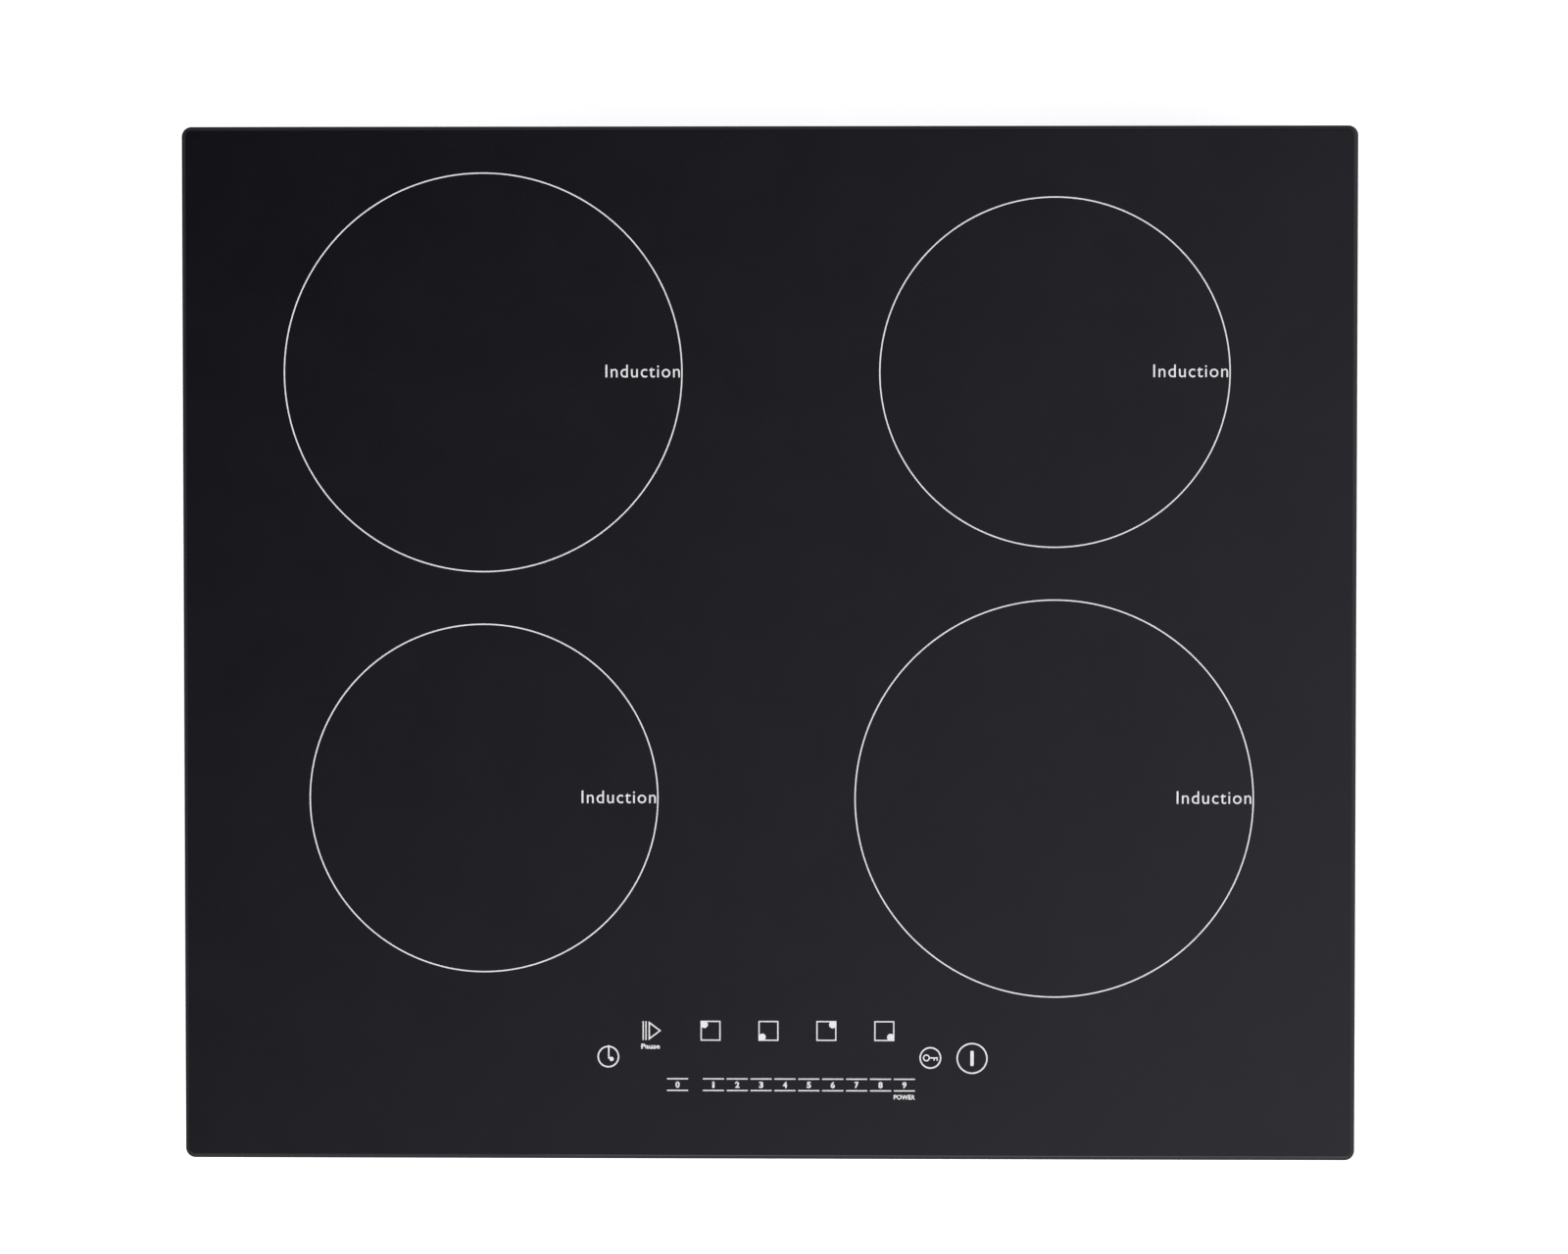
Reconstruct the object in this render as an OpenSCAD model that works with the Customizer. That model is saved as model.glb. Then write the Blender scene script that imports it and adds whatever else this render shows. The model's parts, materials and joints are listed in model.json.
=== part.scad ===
// Built-in induction hob with four cooking zones, a glass top and touch controls.
// Millimetres. The origin is the middle of the underside: +X right, +Y to the back, +Z up.

/* [Glass top] */
// Width of the glass
glass_w = 590; // [580:1:720]
// Depth of the glass
glass_d = 520; // [510:1:640]
// Thickness of the glass
glass_t = 4; // [3:0.2:6]
// Radius of the glass's corners
glass_r = 5; // [3:1:12]
// Width of the ground bevel along the glass's top edge
bevel_w = 2; // [1:0.5:2.5]
// Depth of the ground bevel
bevel_h = 1; // [0.5:0.5:2]
// Height of the whole hob
hob_h = 60; // [59:1:75]

/* [Worktop cut-out] */
// How far the glass covers the worktop on each side
worktop_overlap = 15; // [13:1:18]
// Space between the tray and the edge of the cut-out
cutout_gap = 6; // [4:1:8]
// Thickness of the worktop that the clamps hold
worktop_t = 38; // [35:1:40]
// Thickness of the squeezed seal
seal_t = 2.5; // [1.5:0.5:3]
// Width of the seal
seal_w = 10; // [6:1:10]
// Distance from the glass's edge to the seal
seal_inset = 2; // [2:0.5:3]

/* [Tray] */
// Thickness of the tray's sheet
sheet_t = 1; // [0.8:0.1:1.5]
// Radius of the tray's upright corners
tray_r = 6; // [4:1:12]
// Gap between the tray's rim and the glass
rim_gap = 0.5; // [0.3:0.1:1]
// Width of a cooling slot
slot_w = 3; // [2:0.5:3.5]
// Distance from one cooling slot to the next
slot_pitch = 7; // [6:0.5:9]
// Height of a cooling slot in a wall
slot_h = 16; // [10:1:18]
// Number of cooling slots in a row
slot_count = 18; // [8:1:20]

/* [Glass rails] */
// Width of the rail's leg under the glass
rail_w = 20; // [14:1:22]
// Height of the rail's upright leg
rail_h = 20; // [14:1:24]
// Length of a rail
rail_len = 440; // [300:10:440]
// Thickness of the rail
rail_t = 1.5; // [1:0.1:2]
// Diameter of the screws between rail and tray
rail_screw_d = 3; // [2.5:0.5:4]
// Distance between those screws
rail_screw_pitch = 180; // [120:10:200]

/* [Clamps] */
// Diameter of a clamp's screw
clamp_screw_d = 5; // [4:0.5:6]
// Width of a clamp's arm
clamp_w = 16; // [14:1:18]
// Thickness of a clamp's arm
clamp_t = 3; // [2:0.5:3.5]
// Reach of a clamp from its screw to its tip
clamp_reach = 28; // [26:1:32]
// Distance from the tray's side to a clamp's screw
clamp_inset = 12; // [11:1:14]
// Distance from the tray's front and back to the clamp screws
clamp_end = 89; // [70:1:100]
// Height of a clamp's arm above the underside
clamp_z = 4.5; // [4.5:0.5:6]
// Height of a clamp's pocket
pocket_h = 19; // [18:1:22]

/* [Cooking zones] */
// Distance from the glass's side to a zone's centre
zone_side = 151.5; // [148:0.5:155]
// Distance from the glass's back to a rear zone's centre
zone_rear = 123.4; // [123:0.2:126]
// Distance from the glass's front to a front zone's centre
zone_front = 182.4; // [176:0.2:184]
// Radius of the winding in a large zone
large_coil_r = 90; // [80:1:92]
// Radius of the winding in a small zone
small_coil_r = 75; // [65:1:78]

/* [Coils] */
// Diameter of the stranded wire
litz_d = 3.2; // [2.4:0.1:4]
// How much neighbouring turns press into each other
litz_squeeze = 0.1; // [0.05:0.05:0.2]
// Radius of the hole in the middle of a winding
coil_hole_r = 20; // [18:1:24]
// Thickness of a coil carrier
carrier_t = 2; // [1.5:0.5:3]
// How far a carrier stands out beyond its winding
carrier_rim = 5; // [3:1:6]
// Thickness of the mica disc on a winding
mica_t = 0.6; // [0.4:0.1:1]
// How far the mica disc stands out beyond its winding
mica_rim = 3; // [2:1:4]
// Width of a ferrite bar
ferrite_w = 12; // [10:1:14]
// Thickness of a ferrite bar
ferrite_t = 5; // [4:0.5:6]
// Number of ferrite bars under a coil
ferrite_count = 8; // [8:8:8]
// Height of a coil spring under the carrier's load
spring_h = 10.5; // [9:0.5:12]
// Outer radius of a coil spring
spring_r = 4.4; // [4.2:0.1:5]
// Diameter of a spring's wire
spring_wire_d = 0.8; // [0.6:0.1:1]
// Radius of a heat sensor
sensor_r = 9.8; // [8:0.2:10]
// Wall of the sensor's sleeve in the carrier
sleeve_wall = 3; // [2:0.5:4]
// Thickness of the aluminium shield plate
shield_t = 1.5; // [1:0.1:2]

/* [Power electronics] */
// Width of a power board
board_w = 215; // [200:1:215]
// Depth of a power board
board_d = 240; // [230:1:245]
// Thickness of the circuit boards
board_t = 1.6; // [1.2:0.2:2]
// Distance from the middle of the hob to a power board
board_side = 25; // [20:1:25]
// Height of the board standoffs above the tray's floor
standoff_h = 6; // [5:0.5:8]
// Radius of a standoff
standoff_r = 3; // [2.5:0.5:4]
// Thickness of the insulating sheet under a board
insulation_t = 0.5; // [0.3:0.1:0.8]
// Width of a heat sink
sink_w = 60; // [50:1:60]
// Length of a heat sink
sink_len = 130; // [100:1:130]
// Height of a heat sink
sink_h = 24; // [18:1:26]
// Number of fins on a heat sink
fin_count = 10; // [6:1:12]
// Thickness of a fin
fin_t = 1.6; // [1:0.1:2]

/* [Fans] */
// Distance from the middle of the hob to a fan's shaft
fan_side = 52; // [46:1:56]
// Distance from the tray's back to a fan's shaft
fan_rear = 99; // [90:1:100]
// Height of a fan's housing
fan_h = 30; // [28:1:32]
// Wall of a fan's housing
fan_wall = 1.6; // [1.2:0.2:2]
// Radius of the impeller
impeller_r = 34; // [30:1:36]
// Space between the impeller and the housing
scroll_gap = 5.4; // [3:0.2:6]
// Radius of the air intake
intake_r = 28; // [24:1:29]
// Number of impeller blades
blade_count = 24; // [12:1:30]
// Diameter of a fan's shaft
fan_shaft_d = 3; // [2:0.5:4]
// Radius of a fan's motor
motor_r = 12; // [10:1:13]

/* [Controls] */
// Width of the control unit
control_w = 216; // [216:1:240]
// Depth of the control unit
control_d = 52; // [50:1:54]
// How far the control unit's middle lies right of the hob's middle
control_shift = 10; // [8:1:12]
// Distance from the glass's front to the control unit
control_front = 24; // [23:1:26]
// Distance between the glass and the control board
touch_gap = 4.4; // [4:0.2:6]
// Height of the control unit's trough below its board
trough_h = 6.5; // [5:0.5:8]
// Wall of the control unit's trough
trough_wall = 1.5; // [1:0.1:2]
// Distance from one key of the power slider to the next
slider_pitch = 12.04; // [11.8:0.02:12.1]
// Diameter of the contact under a slider key
slider_pad_d = 7; // [5:0.5:8]
// Diameter of the contact under any other key
key_pad_d = 8; // [6:0.5:9]

/* [Mains terminal] */
// Width of the recess in the tray's back
recess_w = 90; // [88:1:100]
// Height of the recess
recess_h = 34; // [32:1:35]
// Depth of the recess
recess_d = 14; // [12:1:20]
// Distance from the tray's right side to the recess
recess_side = 34; // [30:1:40]
// Depth of the terminal compartment behind the recess
terminal_d = 36; // [32:1:40]
// Wall of the terminal compartment
terminal_wall = 2; // [1.6:0.2:2.4]
// Diameter of the mains cable that the grommet takes
cable_d = 12; // [9:0.5:13]
// Length of the cable grommet
grommet_len = 12; // [10:1:14]
// Diameter of the cover's hinge pins
cover_pin_d = 3; // [2:0.5:3.5]

/* [Fits] */
// Radial running clearance of a shaft or pin in its bore
running_gap = 0.05; // [0.02:0.01:0.1]
// Gap between pieces that only lie beside each other
loose_gap = 0.2; // [0.1:0.05:0.4]
// Radial clearance of a screw in a plain hole
screw_gap = 0.3; // [0.2:0.1:0.5]

/* [Hidden] */
$fn = 48;
EPS = 1; // how far a cutting body runs past the face that it cuts

ZONES = ["rear_left", "rear_right", "front_left", "front_right"];
SIDES = ["left", "right"];
CORNERS = ZONES;
PER_ZONE = ["mica_disc_", "coil_winding_", "coil_carrier_", "heat_sensor_"];
PER_SIDE = ["glass_rail_", "power_board_", "heat_sink_",
    "fan_housing_", "fan_motor_", "fan_shaft_", "fan_impeller_"];
SINGLES = ["glass_top", "rim_seal", "tray", "tray_screws", "ferrite_bars", "coil_springs", "shield_plate",
    "film_capacitors", "filter_chokes", "power_transistors", "relays", "board_standoffs", "insulation_sheets",
    "control_trough", "control_board", "display_modules", "touch_contacts",
    "terminal_box", "terminal_block", "terminal_cover", "cable_grommet",
    "clamp_screws", "clamp_nuts", "wire_harness", "rating_plate"];

// Heights
glass_z = hob_h - glass_t;
seal_z = glass_z - seal_t;
tray_top = glass_z - rim_gap;
mica_z = glass_z - mica_t;
litz_z = mica_z - litz_d / 2;
carrier_top = mica_z - litz_d;
carrier_z = carrier_top - carrier_t;
ferrite_z = carrier_z - ferrite_t;
shield_top = carrier_z - spring_h;
shield_z = shield_top - shield_t;
board_z = sheet_t + standoff_h;
board_top = board_z + board_t;
control_board_top = glass_z - touch_gap;
control_board_z = control_board_top - board_t;
trough_top = control_board_z - trough_h;
trough_z = trough_top - trough_wall;
lip_top = seal_z - worktop_t;

// Plan of the tray
tray_x = glass_w / 2 - worktop_overlap - cutout_gap;
tray_y = glass_d / 2 - worktop_overlap - cutout_gap;
inner_x = tray_x - sheet_t;
inner_y = tray_y - sheet_t;

// Zones, in the order of ZONES
zone_x = glass_w / 2 - zone_side;
rear_y = glass_d / 2 - zone_rear;
front_y = zone_front - glass_d / 2;
ZONE_AT = [[-zone_x, rear_y], [zone_x, rear_y], [-zone_x, front_y], [zone_x, front_y]];
COIL_R = [large_coil_r, small_coil_r, small_coil_r, large_coil_r];
litz_pitch = litz_d - litz_squeeze;
sleeve_r = sensor_r + loose_gap + sleeve_wall;
sleeve_drop = 6;
SPRING_ANGLES = [0, 135, 225];
spring_inset = 7;
spring_pin_h = 5;
spring_pin_gap = 0.4;
spring_pin_r = spring_r - spring_wire_d - spring_pin_gap;
ferrite_start = coil_hole_r + 4;
ferrite_inset = 2;

// Fans and power boards
fan_y = tray_y - fan_rear;
scroll_r = impeller_r + scroll_gap;
fan_case_r = scroll_r + fan_wall;
fan_z = sheet_t;
fan_top = fan_z + fan_h;
outlet_gap = 19; // between a fan's outlet and its board
board_rear = fan_y - fan_case_r - outlet_gap;
board_front = board_rear - board_d;
board_far = board_side + board_w;
standoff_inset = 6;
pin_r = 1.5;
pin_head_r = 2.5;
pin_head_h = 0.8;
sink_side = 12;
sink_x = board_side + sink_side;
sink_base = 4;
sink_wall = 4;
transistor_size = [5.2, 16, 21];
transistor_pitch = 30;
capacitor_size = [32, 20, 22];
capacitor_pitch = [48, 30];
capacitor_x = sink_x + sink_w + 20;
capacitor_y = board_rear - 60;
relay_size = [29, 12.5, 16];
relay_pitch = 34;
choke_core_r = 15;
choke_core_d = 13;
choke_wire_d = 1.6;
choke_turns = 14;

// Impeller, measured up from the tray's floor
shroud_z = fan_z + 5;
shroud_t = 1.5;
cup_z = fan_z + 10;
cup_wall = 1.5;
cup_gap = 2;
cup_r = motor_r + cup_gap + cup_wall;
back_z = fan_z + 24;
back_t = 2;
shroud_w = 4;
blade_len = 9;
blade_inset = 0.6;
blade_t = 1;
blade_turn = 30;
hub_r = 4;
shaft_z = fan_z + 8;
shaft_len = 19;
motor_z = cup_z + cup_wall + 1.5;

// Key places: across from the hob's middle, and back from the glass's front
TIMER_KEY = [-80.9, 51.8];
PAUSE_KEY = [-59.1, 65];
LOCK_KEY = [81.5, 51.5];
POWER_KEY = [102.5, 51.3];
zone_key_y = 65;
ZONE_KEY_X = [-29.3, -0.1, 29.1, 58.3];
slider_y = 37.7;
slider_zero_x = -46;
slider_first_x = -27.9;
display_y = 51;
display_size = [10, 14, 3.9];
DISPLAY_X = concat([PAUSE_KEY[0]], ZONE_KEY_X);
KEYS = concat([TIMER_KEY, PAUSE_KEY, LOCK_KEY, POWER_KEY], [for (x = ZONE_KEY_X) [x, zone_key_y]]);
SLIDER_KEYS = concat([slider_zero_x], [for (i = [0:8]) slider_first_x + i * slider_pitch]);
contact_wall = 1;
control_y0 = control_front - glass_d / 2;
control_y1 = control_y0 + control_d;
control_x0 = control_shift - control_w / 2;
control_x1 = control_shift + control_w / 2;
trough_post_r = 3;
trough_leg_r = 4;
post_inset = 8;
leg_inset = 10;

// Shield plate
shield_x = inner_x - 11;
shield_y1 = inner_y - 3;
shield_y0 = control_y1 + 4;
shield_leg_w = 36;
SHIELD_LEGS = [rear_y + 55, 0, front_y];
shield_hole_r = 17;

// Mains terminal: the recess opens to the back and to below
recess_x1 = tray_x - recess_side;
recess_x0 = recess_x1 - recess_w;
recess_y = tray_y - recess_d;
flange_t = 1.6;
flange_gap = 0.5;
flange_y = recess_y + flange_t;
box_x0 = recess_x0 + 2;
box_x1 = recess_x1 - 2;
box_y0 = recess_y - terminal_d;
box_z0 = 3;
box_z1 = recess_h - 2;
grommet_r = cable_d / 2 + 3;
grommet_flange_r = grommet_r + 2.5;
grommet_flange_t = 1.6;
grommet_x = box_x0 + terminal_wall + grommet_flange_r + 1;
grommet_z = 18;
lug_t = 3.4;
lug_x0 = grommet_x + grommet_flange_r - 1;
cover_x0 = lug_x0 + lug_t + loose_gap;
cover_x1 = recess_x1 - 1.8 - lug_t - loose_gap;
cover_t = 2;
grip_t = 2;
grip_inset = 15;
cover_y = flange_y + loose_gap;
cover_top = recess_h - 2.5;
barrel_r = cover_pin_d / 2 + 1.3;
hinge_y = cover_y + barrel_r;
hinge_z = 4;
mouth_rim = 3;
cover_pin_len = 6;
block_size = [46, 16, 14];
block_x = cover_x0 + 4;
block_y = box_y0 + terminal_wall + 6;
block_z = box_z0 + terminal_wall;
terminal_pitch = 9;
terminal_count = 5;
wire_hole_r = 2.2;
screw_well_r = 2.6;

// Beads in the tray's floor: the two ends of each one's middle line
bead_h = 0.6;
bead_w = 8;
bead_end = 235; // from the middle to the ends of the long beads
bead_front_y = control_y0 + control_d / 2;
bead_rear_y = inner_y - 23;
bead_rear_x = recess_x0 - 15;
BEADS = [
    [[-bead_end, bead_front_y], [bead_end, bead_front_y]],
    [[-bead_end, bead_rear_y], [bead_rear_x, bead_rear_y]],
    [[0, board_front + 10], [0, board_rear - 10]]
];

// Clamps and their pockets, in the order of CORNERS
clamp_x = tray_x - clamp_inset;
clamp_y = tray_y - clamp_end;
CLAMP_SIDE = [-1, 1, -1, 1];
CLAMP_END = [1, 1, -1, -1];
clamp_gap = 2;
pocket_x = clamp_x - clamp_w / 2 - 2 * clamp_gap;
pocket_back = clamp_w / 2 + clamp_gap;
pocket_ahead = clamp_reach + 1.5 * clamp_gap;
clamp_screw_r = clamp_screw_d / 2;
clamp_head_z = 1;
clamp_head_r = clamp_screw_r + 2;
clamp_screw_top = pocket_h + 9;
clamp_nut_r = clamp_screw_r + 2.2;
clamp_nut_h = 4;
cross_slot = [5.5, 1.1];
cross_depth = 1.2;

// Wires: width of the strands and the routes of the right-hand side
wire_sides = 8;
lead_r = 1.4;
thin_lead_r = 0.9;
wire_steps = 3;
ribbon_half = [6, 0.6];
sensor_z = carrier_z - sleeve_drop;
sensor_foot_t = 2;
lead_gap = 4;
joint_gap = 0.5; // between a wire's end and the face that it is soldered to
lead_top = sensor_z - sensor_foot_t - joint_gap;
lead_foot = board_top + joint_gap;
wall_hole_r = lead_r + 1;
FRONT_LEAD = [[zone_x, front_y, lead_top], [zone_x, front_y, 34],
    [zone_x, front_y - 6, 22], [zone_x, front_y - 6, lead_foot]];
REAR_LEAD = [[zone_x, rear_y, lead_top], [zone_x, rear_y, 34],
    [zone_x, rear_y - 14, 24], [zone_x, board_rear + 10, 22],
    [zone_x, board_rear - 8, 18], [zone_x, board_rear - 12, lead_foot]];
fan_lead_x = fan_side + fan_case_r;
FAN_LEAD = [[fan_lead_x + joint_gap, fan_y + 4, 22], [fan_lead_x + 10, fan_y, 22],
    [fan_lead_x + 16, board_rear + 20, 22],
    [fan_lead_x + 16, board_rear, 18], [fan_lead_x + 16, board_rear - 6, lead_foot]];
mains_x = block_x + block_size[0] / 2;
mains_z = block_z + 5;
MAINS_WIRE = [[0, block_y - joint_gap, mains_z], [0, box_y0 - 4, mains_z], [0, box_y0 - 40, 14],
    [0, board_rear + 12, 20], [0, board_rear - 4, 18], [0, board_rear - 8, lead_foot]];
RIBBON = [[40, control_y1 + 2, control_board_z - 2], [40, control_y1 + 2, 30],
    [40, control_y1 + 6, 22], [40, board_front - 4, 18], [40, board_front + 4, 15],
    [40, board_front + 8, lead_foot]];

// ---- shapes used by several pieces ----

module block(from, to) {
    translate(from) cube(to - from);
}

module rounded_rect(w, d, r) {
    square([w - 2 * r, d], center = true);
    square([w, d - 2 * r], center = true);
    for (x = [-1, 1], y = [-1, 1]) translate([x * (w / 2 - r), y * (d / 2 - r)]) circle(r);
}

module ring(outer, inner, z, h) {
    translate([0, 0, z]) difference() {
        cylinder(r = outer, h = h);
        translate([0, 0, -EPS]) cylinder(r = inner, h = h + 2 * EPS);
    }
}

// Half the section of a bevelled plate's edge, from its middle out to x = out
module bevelled_section(out) {
    polygon([[-out, 0], [out, 0], [out, glass_t - bevel_h], [out - bevel_w, glass_t],
        [bevel_w - out, glass_t], [-out, glass_t - bevel_h]]);
}

function unit(v) = v / norm(v);
function curve(a, b, c, d, t) = 0.5 * (2 * b + (c - a) * t + (2 * a - 5 * b + 4 * c - d) * t * t
    + (3 * b - a - 3 * c + d) * t * t * t);
// A smooth path through all the points of a route
function smooth(route) = let (last = len(route) - 1) concat(
    [for (i = [0:last - 1], k = [0:wire_steps - 1])
        curve(route[max(i - 1, 0)], route[i], route[i + 1], route[min(i + 2, last)], k / wire_steps)],
    [route[last]]
);

// A tube with an oval section along a path. The section's first half width lies towards `across`.
module tube(path, half, across, sides) {
    last = len(path) - 1;
    rings = [for (i = [0:last])
        let (along = unit(path[min(i + 1, last)] - path[max(i - 1, 0)]),
            u = unit(across - (across * along) * along),
            v = cross(along, u))
        for (k = [0:sides - 1])
            path[i] + half[0] * cos(360 * k / sides) * u + half[1] * sin(360 * k / sides) * v];
    walls = [for (i = [0:last - 1], k = [0:sides - 1])
        let (a = i * sides + k, b = i * sides + (k + 1) % sides)
        each [[a, a + sides, b], [b, a + sides, b + sides]]];
    polyhedron(rings, concat(walls, [[for (k = [0:sides - 1]) k]],
        [[for (k = [0:sides - 1]) last * sides + sides - 1 - k]]));
}

module wire(route, radius) {
    tube(smooth(route), [radius, radius], [1, 0, 0], wire_sides);
}

// Draws its children as drawn for the right, or mirrored for the left
module on_side(side) {
    if (side == "left") mirror([1, 0, 0]) children();
    else children();
}

module at_zone(i) {
    translate(ZONE_AT[i]) children();
}

// Puts a key's shape at a place given from the hob's middle and the glass's front
module at_key(place) {
    translate([place[0], place[1] - glass_d / 2]) children();
}

// ---- glass top and tray ----

module glass_top() {
    color([0.12, 0.12, 0.14]) translate([0, 0, glass_z]) {
        rotate([90, 0, 0]) linear_extrude(glass_d - 2 * glass_r, center = true) bevelled_section(glass_w / 2);
        rotate([90, 0, 90]) linear_extrude(glass_w - 2 * glass_r, center = true) bevelled_section(glass_d / 2);
        for (x = [-1, 1], y = [-1, 1])
            translate([x * (glass_w / 2 - glass_r), y * (glass_d / 2 - glass_r)])
                rotate_extrude() intersection() {
                    bevelled_section(glass_r);
                    square([glass_r, glass_t]);
                }
    }
}

module rim_seal() {
    outer = [glass_w - 2 * seal_inset, glass_d - 2 * seal_inset];
    color([0.1, 0.1, 0.1]) translate([0, 0, seal_z]) linear_extrude(seal_t) difference() {
        rounded_rect(outer[0], outer[1], glass_r);
        rounded_rect(outer[0] - 2 * seal_w, outer[1] - 2 * seal_w, 2);
    }
}

// The right-hand rail: glued under the glass and screwed to the tray's side
module glass_rail() {
    out = inner_x - loose_gap;
    color("lightgray") difference() {
        union() {
            block([out - rail_w, -rail_len / 2, glass_z - rail_t], [out, rail_len / 2, glass_z]);
            block([out - rail_t, -rail_len / 2, glass_z - rail_h], [out, rail_len / 2, glass_z]);
        }
        rail_screw_places() translate([0, 0, -2 * EPS]) cylinder(d = rail_screw_d, h = rail_w);
    }
}

// Outward axes of the right-hand rail's screws, starting inside the rail
module rail_screw_places() {
    for (i = [-1:1])
        translate([inner_x - 5, i * rail_screw_pitch, glass_z - rail_h / 2]) rotate([0, 90, 0]) children();
}

module tray_screws() {
    head_r = rail_screw_d;
    head_h = 2;
    start = 5 + sheet_t;
    color("silver") for (side = SIDES) on_side(side) rail_screw_places() difference() {
        union() {
            cylinder(d = rail_screw_d, h = start);
            translate([0, 0, start]) cylinder(r = head_r, h = head_h);
        }
        translate([0, 0, start + head_h]) cross_recess(rail_screw_d);
    }
}

// A cross recess, cut down from z = 0, for a screw of diameter d
module cross_recess(d) {
    for (turn = [0, 90]) rotate(turn)
        translate([-cross_slot[0] * d / 10, -cross_slot[1] / 2, -cross_depth])
            cube([cross_slot[0] * d / 5, cross_slot[1], cross_depth + EPS]);
}

// A row of upright slots along x, drawn flat: middle of the row at the origin
module slot_row(count) {
    for (i = [0:count - 1]) translate([(i - (count - 1) / 2) * slot_pitch, 0]) upright_slot(slot_h);
}

module upright_slot(h) {
    square([slot_w, h - slot_w], center = true);
    for (y = [-1, 1]) translate([0, y * (h - slot_w) / 2]) circle(d = slot_w);
}

// Slots under a fan, inside the intake's circle
module intake_slots() {
    reach = intake_r - slot_w;
    rows = floor(reach / slot_pitch);
    for (i = [-rows:rows]) translate([i * slot_pitch, 0])
        upright_slot(2 * sqrt(reach * reach - pow(i * slot_pitch, 2)));
}

// The clamp pockets, each grown by a wall, and running past the tray's outer faces
module pockets(wall, past) {
    for (i = [0:3]) {
        x = CLAMP_SIDE[i];
        y = CLAMP_END[i];
        translate([x * clamp_x, y * clamp_y]) mirror([x < 0 ? 1 : 0, 0]) mirror([0, y > 0 ? 1 : 0])
            block([pocket_x - clamp_x - wall, -pocket_back - wall, -past],
                [tray_x - clamp_x + past, pocket_ahead + wall, pocket_h + wall]);
    }
}

// Pressed beads that stiffen the floor: their outline, with a half width
module beads(half) {
    for (route = BEADS) {
        along = unit(route[1] - route[0]);
        across = [-along[1], along[0]] * half;
        polygon([route[0] + across, route[0] - across, route[1] - across, route[1] + across]);
        for (end = route) translate(end) circle(half);
    }
}

module tray() {
    floor_y = (control_y1 + board_front) / 2;
    color([0.72, 0.73, 0.74]) difference() {
        union() {
            difference() {
                linear_extrude(tray_top) rounded_rect(2 * tray_x, 2 * tray_y, tray_r);
                translate([0, 0, sheet_t]) linear_extrude(tray_top)
                    rounded_rect(2 * inner_x, 2 * inner_y, tray_r - sheet_t);
            }
            pockets(sheet_t, 0);
            linear_extrude(sheet_t + bead_h) beads(bead_w / 2 + bead_h);
            block([recess_x0 - sheet_t, recess_y - sheet_t, 0],
                [recess_x1 + sheet_t, tray_y, recess_h + sheet_t]);
        }
        pockets(0, EPS);
        translate([0, 0, -EPS]) linear_extrude(EPS + bead_h) beads(bead_w / 2);
        block([recess_x0, recess_y, -EPS], [recess_x1, tray_y + EPS, recess_h]);
        block([box_x0 - loose_gap, recess_y - sheet_t - EPS, box_z0 - loose_gap],
            [box_x1 + loose_gap, recess_y + EPS, box_z1 + loose_gap]);
        for (side = SIDES) on_side(side) {
            rail_screw_places() cylinder(r = rail_screw_d / 2 + screw_gap, h = 5 + sheet_t + EPS);
            translate([fan_side, fan_y, -EPS]) linear_extrude(sheet_t + 2 * EPS) intake_slots();
            translate([zone_x, floor_y, -EPS]) linear_extrude(sheet_t + 2 * EPS) slot_row(slot_count);
            translate([tray_x + EPS, 0, hob_h / 2]) rotate([90, 0, -90]) linear_extrude(sheet_t + 2 * EPS)
                slot_row(slot_count);
        }
        for (i = [0:3])
            translate([CLAMP_SIDE[i] * clamp_x, CLAMP_END[i] * clamp_y, pocket_h - EPS])
                cylinder(r = clamp_screw_r + screw_gap, h = sheet_t + 2 * EPS);
        translate([-fan_side, tray_y + EPS, hob_h / 2]) rotate([90, 0, 0]) linear_extrude(sheet_t + 2 * EPS)
            slot_row(slot_count);
        translate([0, EPS - inner_y, hob_h / 2 - slot_h]) rotate([90, 0, 0]) linear_extrude(sheet_t + 2 * EPS)
            slot_row(2 * slot_count);
    }
}

// A blank plate on the tray's back
module rating_plate() {
    size = [80, 0.4, 30];
    color("silver") translate([-tray_x + 60, tray_y, 12]) cube(size);
}

// ---- clamps ----

module at_clamp(i) {
    translate([CLAMP_SIDE[i] * clamp_x, CLAMP_END[i] * clamp_y]) children();
}

// An arm that lies along the tray and swings out under the worktop
module clamp(i) {
    half = clamp_w / 2;
    bore = clamp_screw_r + running_gap;
    color([0.75, 0.75, 0.72]) at_clamp(i) mirror([0, CLAMP_END[i] > 0 ? 1 : 0]) translate([0, 0, clamp_z]) {
        difference() {
            union() {
                cylinder(r = half, h = clamp_t);
                translate([-half, 0]) cube([clamp_w, clamp_reach, clamp_t]);
                translate([-half, clamp_reach - clamp_t]) cube([clamp_w, clamp_t, lip_top - clamp_z]);
                cylinder(r = clamp_screw_r + 2.5, h = 2 * clamp_t);
            }
            translate([0, 0, -EPS]) cylinder(r = bore, h = 2 * clamp_t + 2 * EPS);
        }
        rib = clamp_t / 2;
        translate([-rib / 2, clamp_reach / 2, clamp_t - rib / 2]) cube([rib, clamp_reach / 2 - rib, rib]);
    }
}

module clamp_screws() {
    color("silver") for (i = [0:3]) at_clamp(i) difference() {
        union() {
            translate([0, 0, clamp_head_z])
                cylinder(r = clamp_head_r, h = clamp_z - loose_gap - clamp_head_z);
            translate([0, 0, clamp_head_z]) cylinder(r = clamp_screw_r, h = clamp_screw_top - clamp_head_z);
        }
        translate([0, 0, clamp_head_z]) mirror([0, 0, 1]) cross_recess(clamp_screw_d);
    }
}

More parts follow.
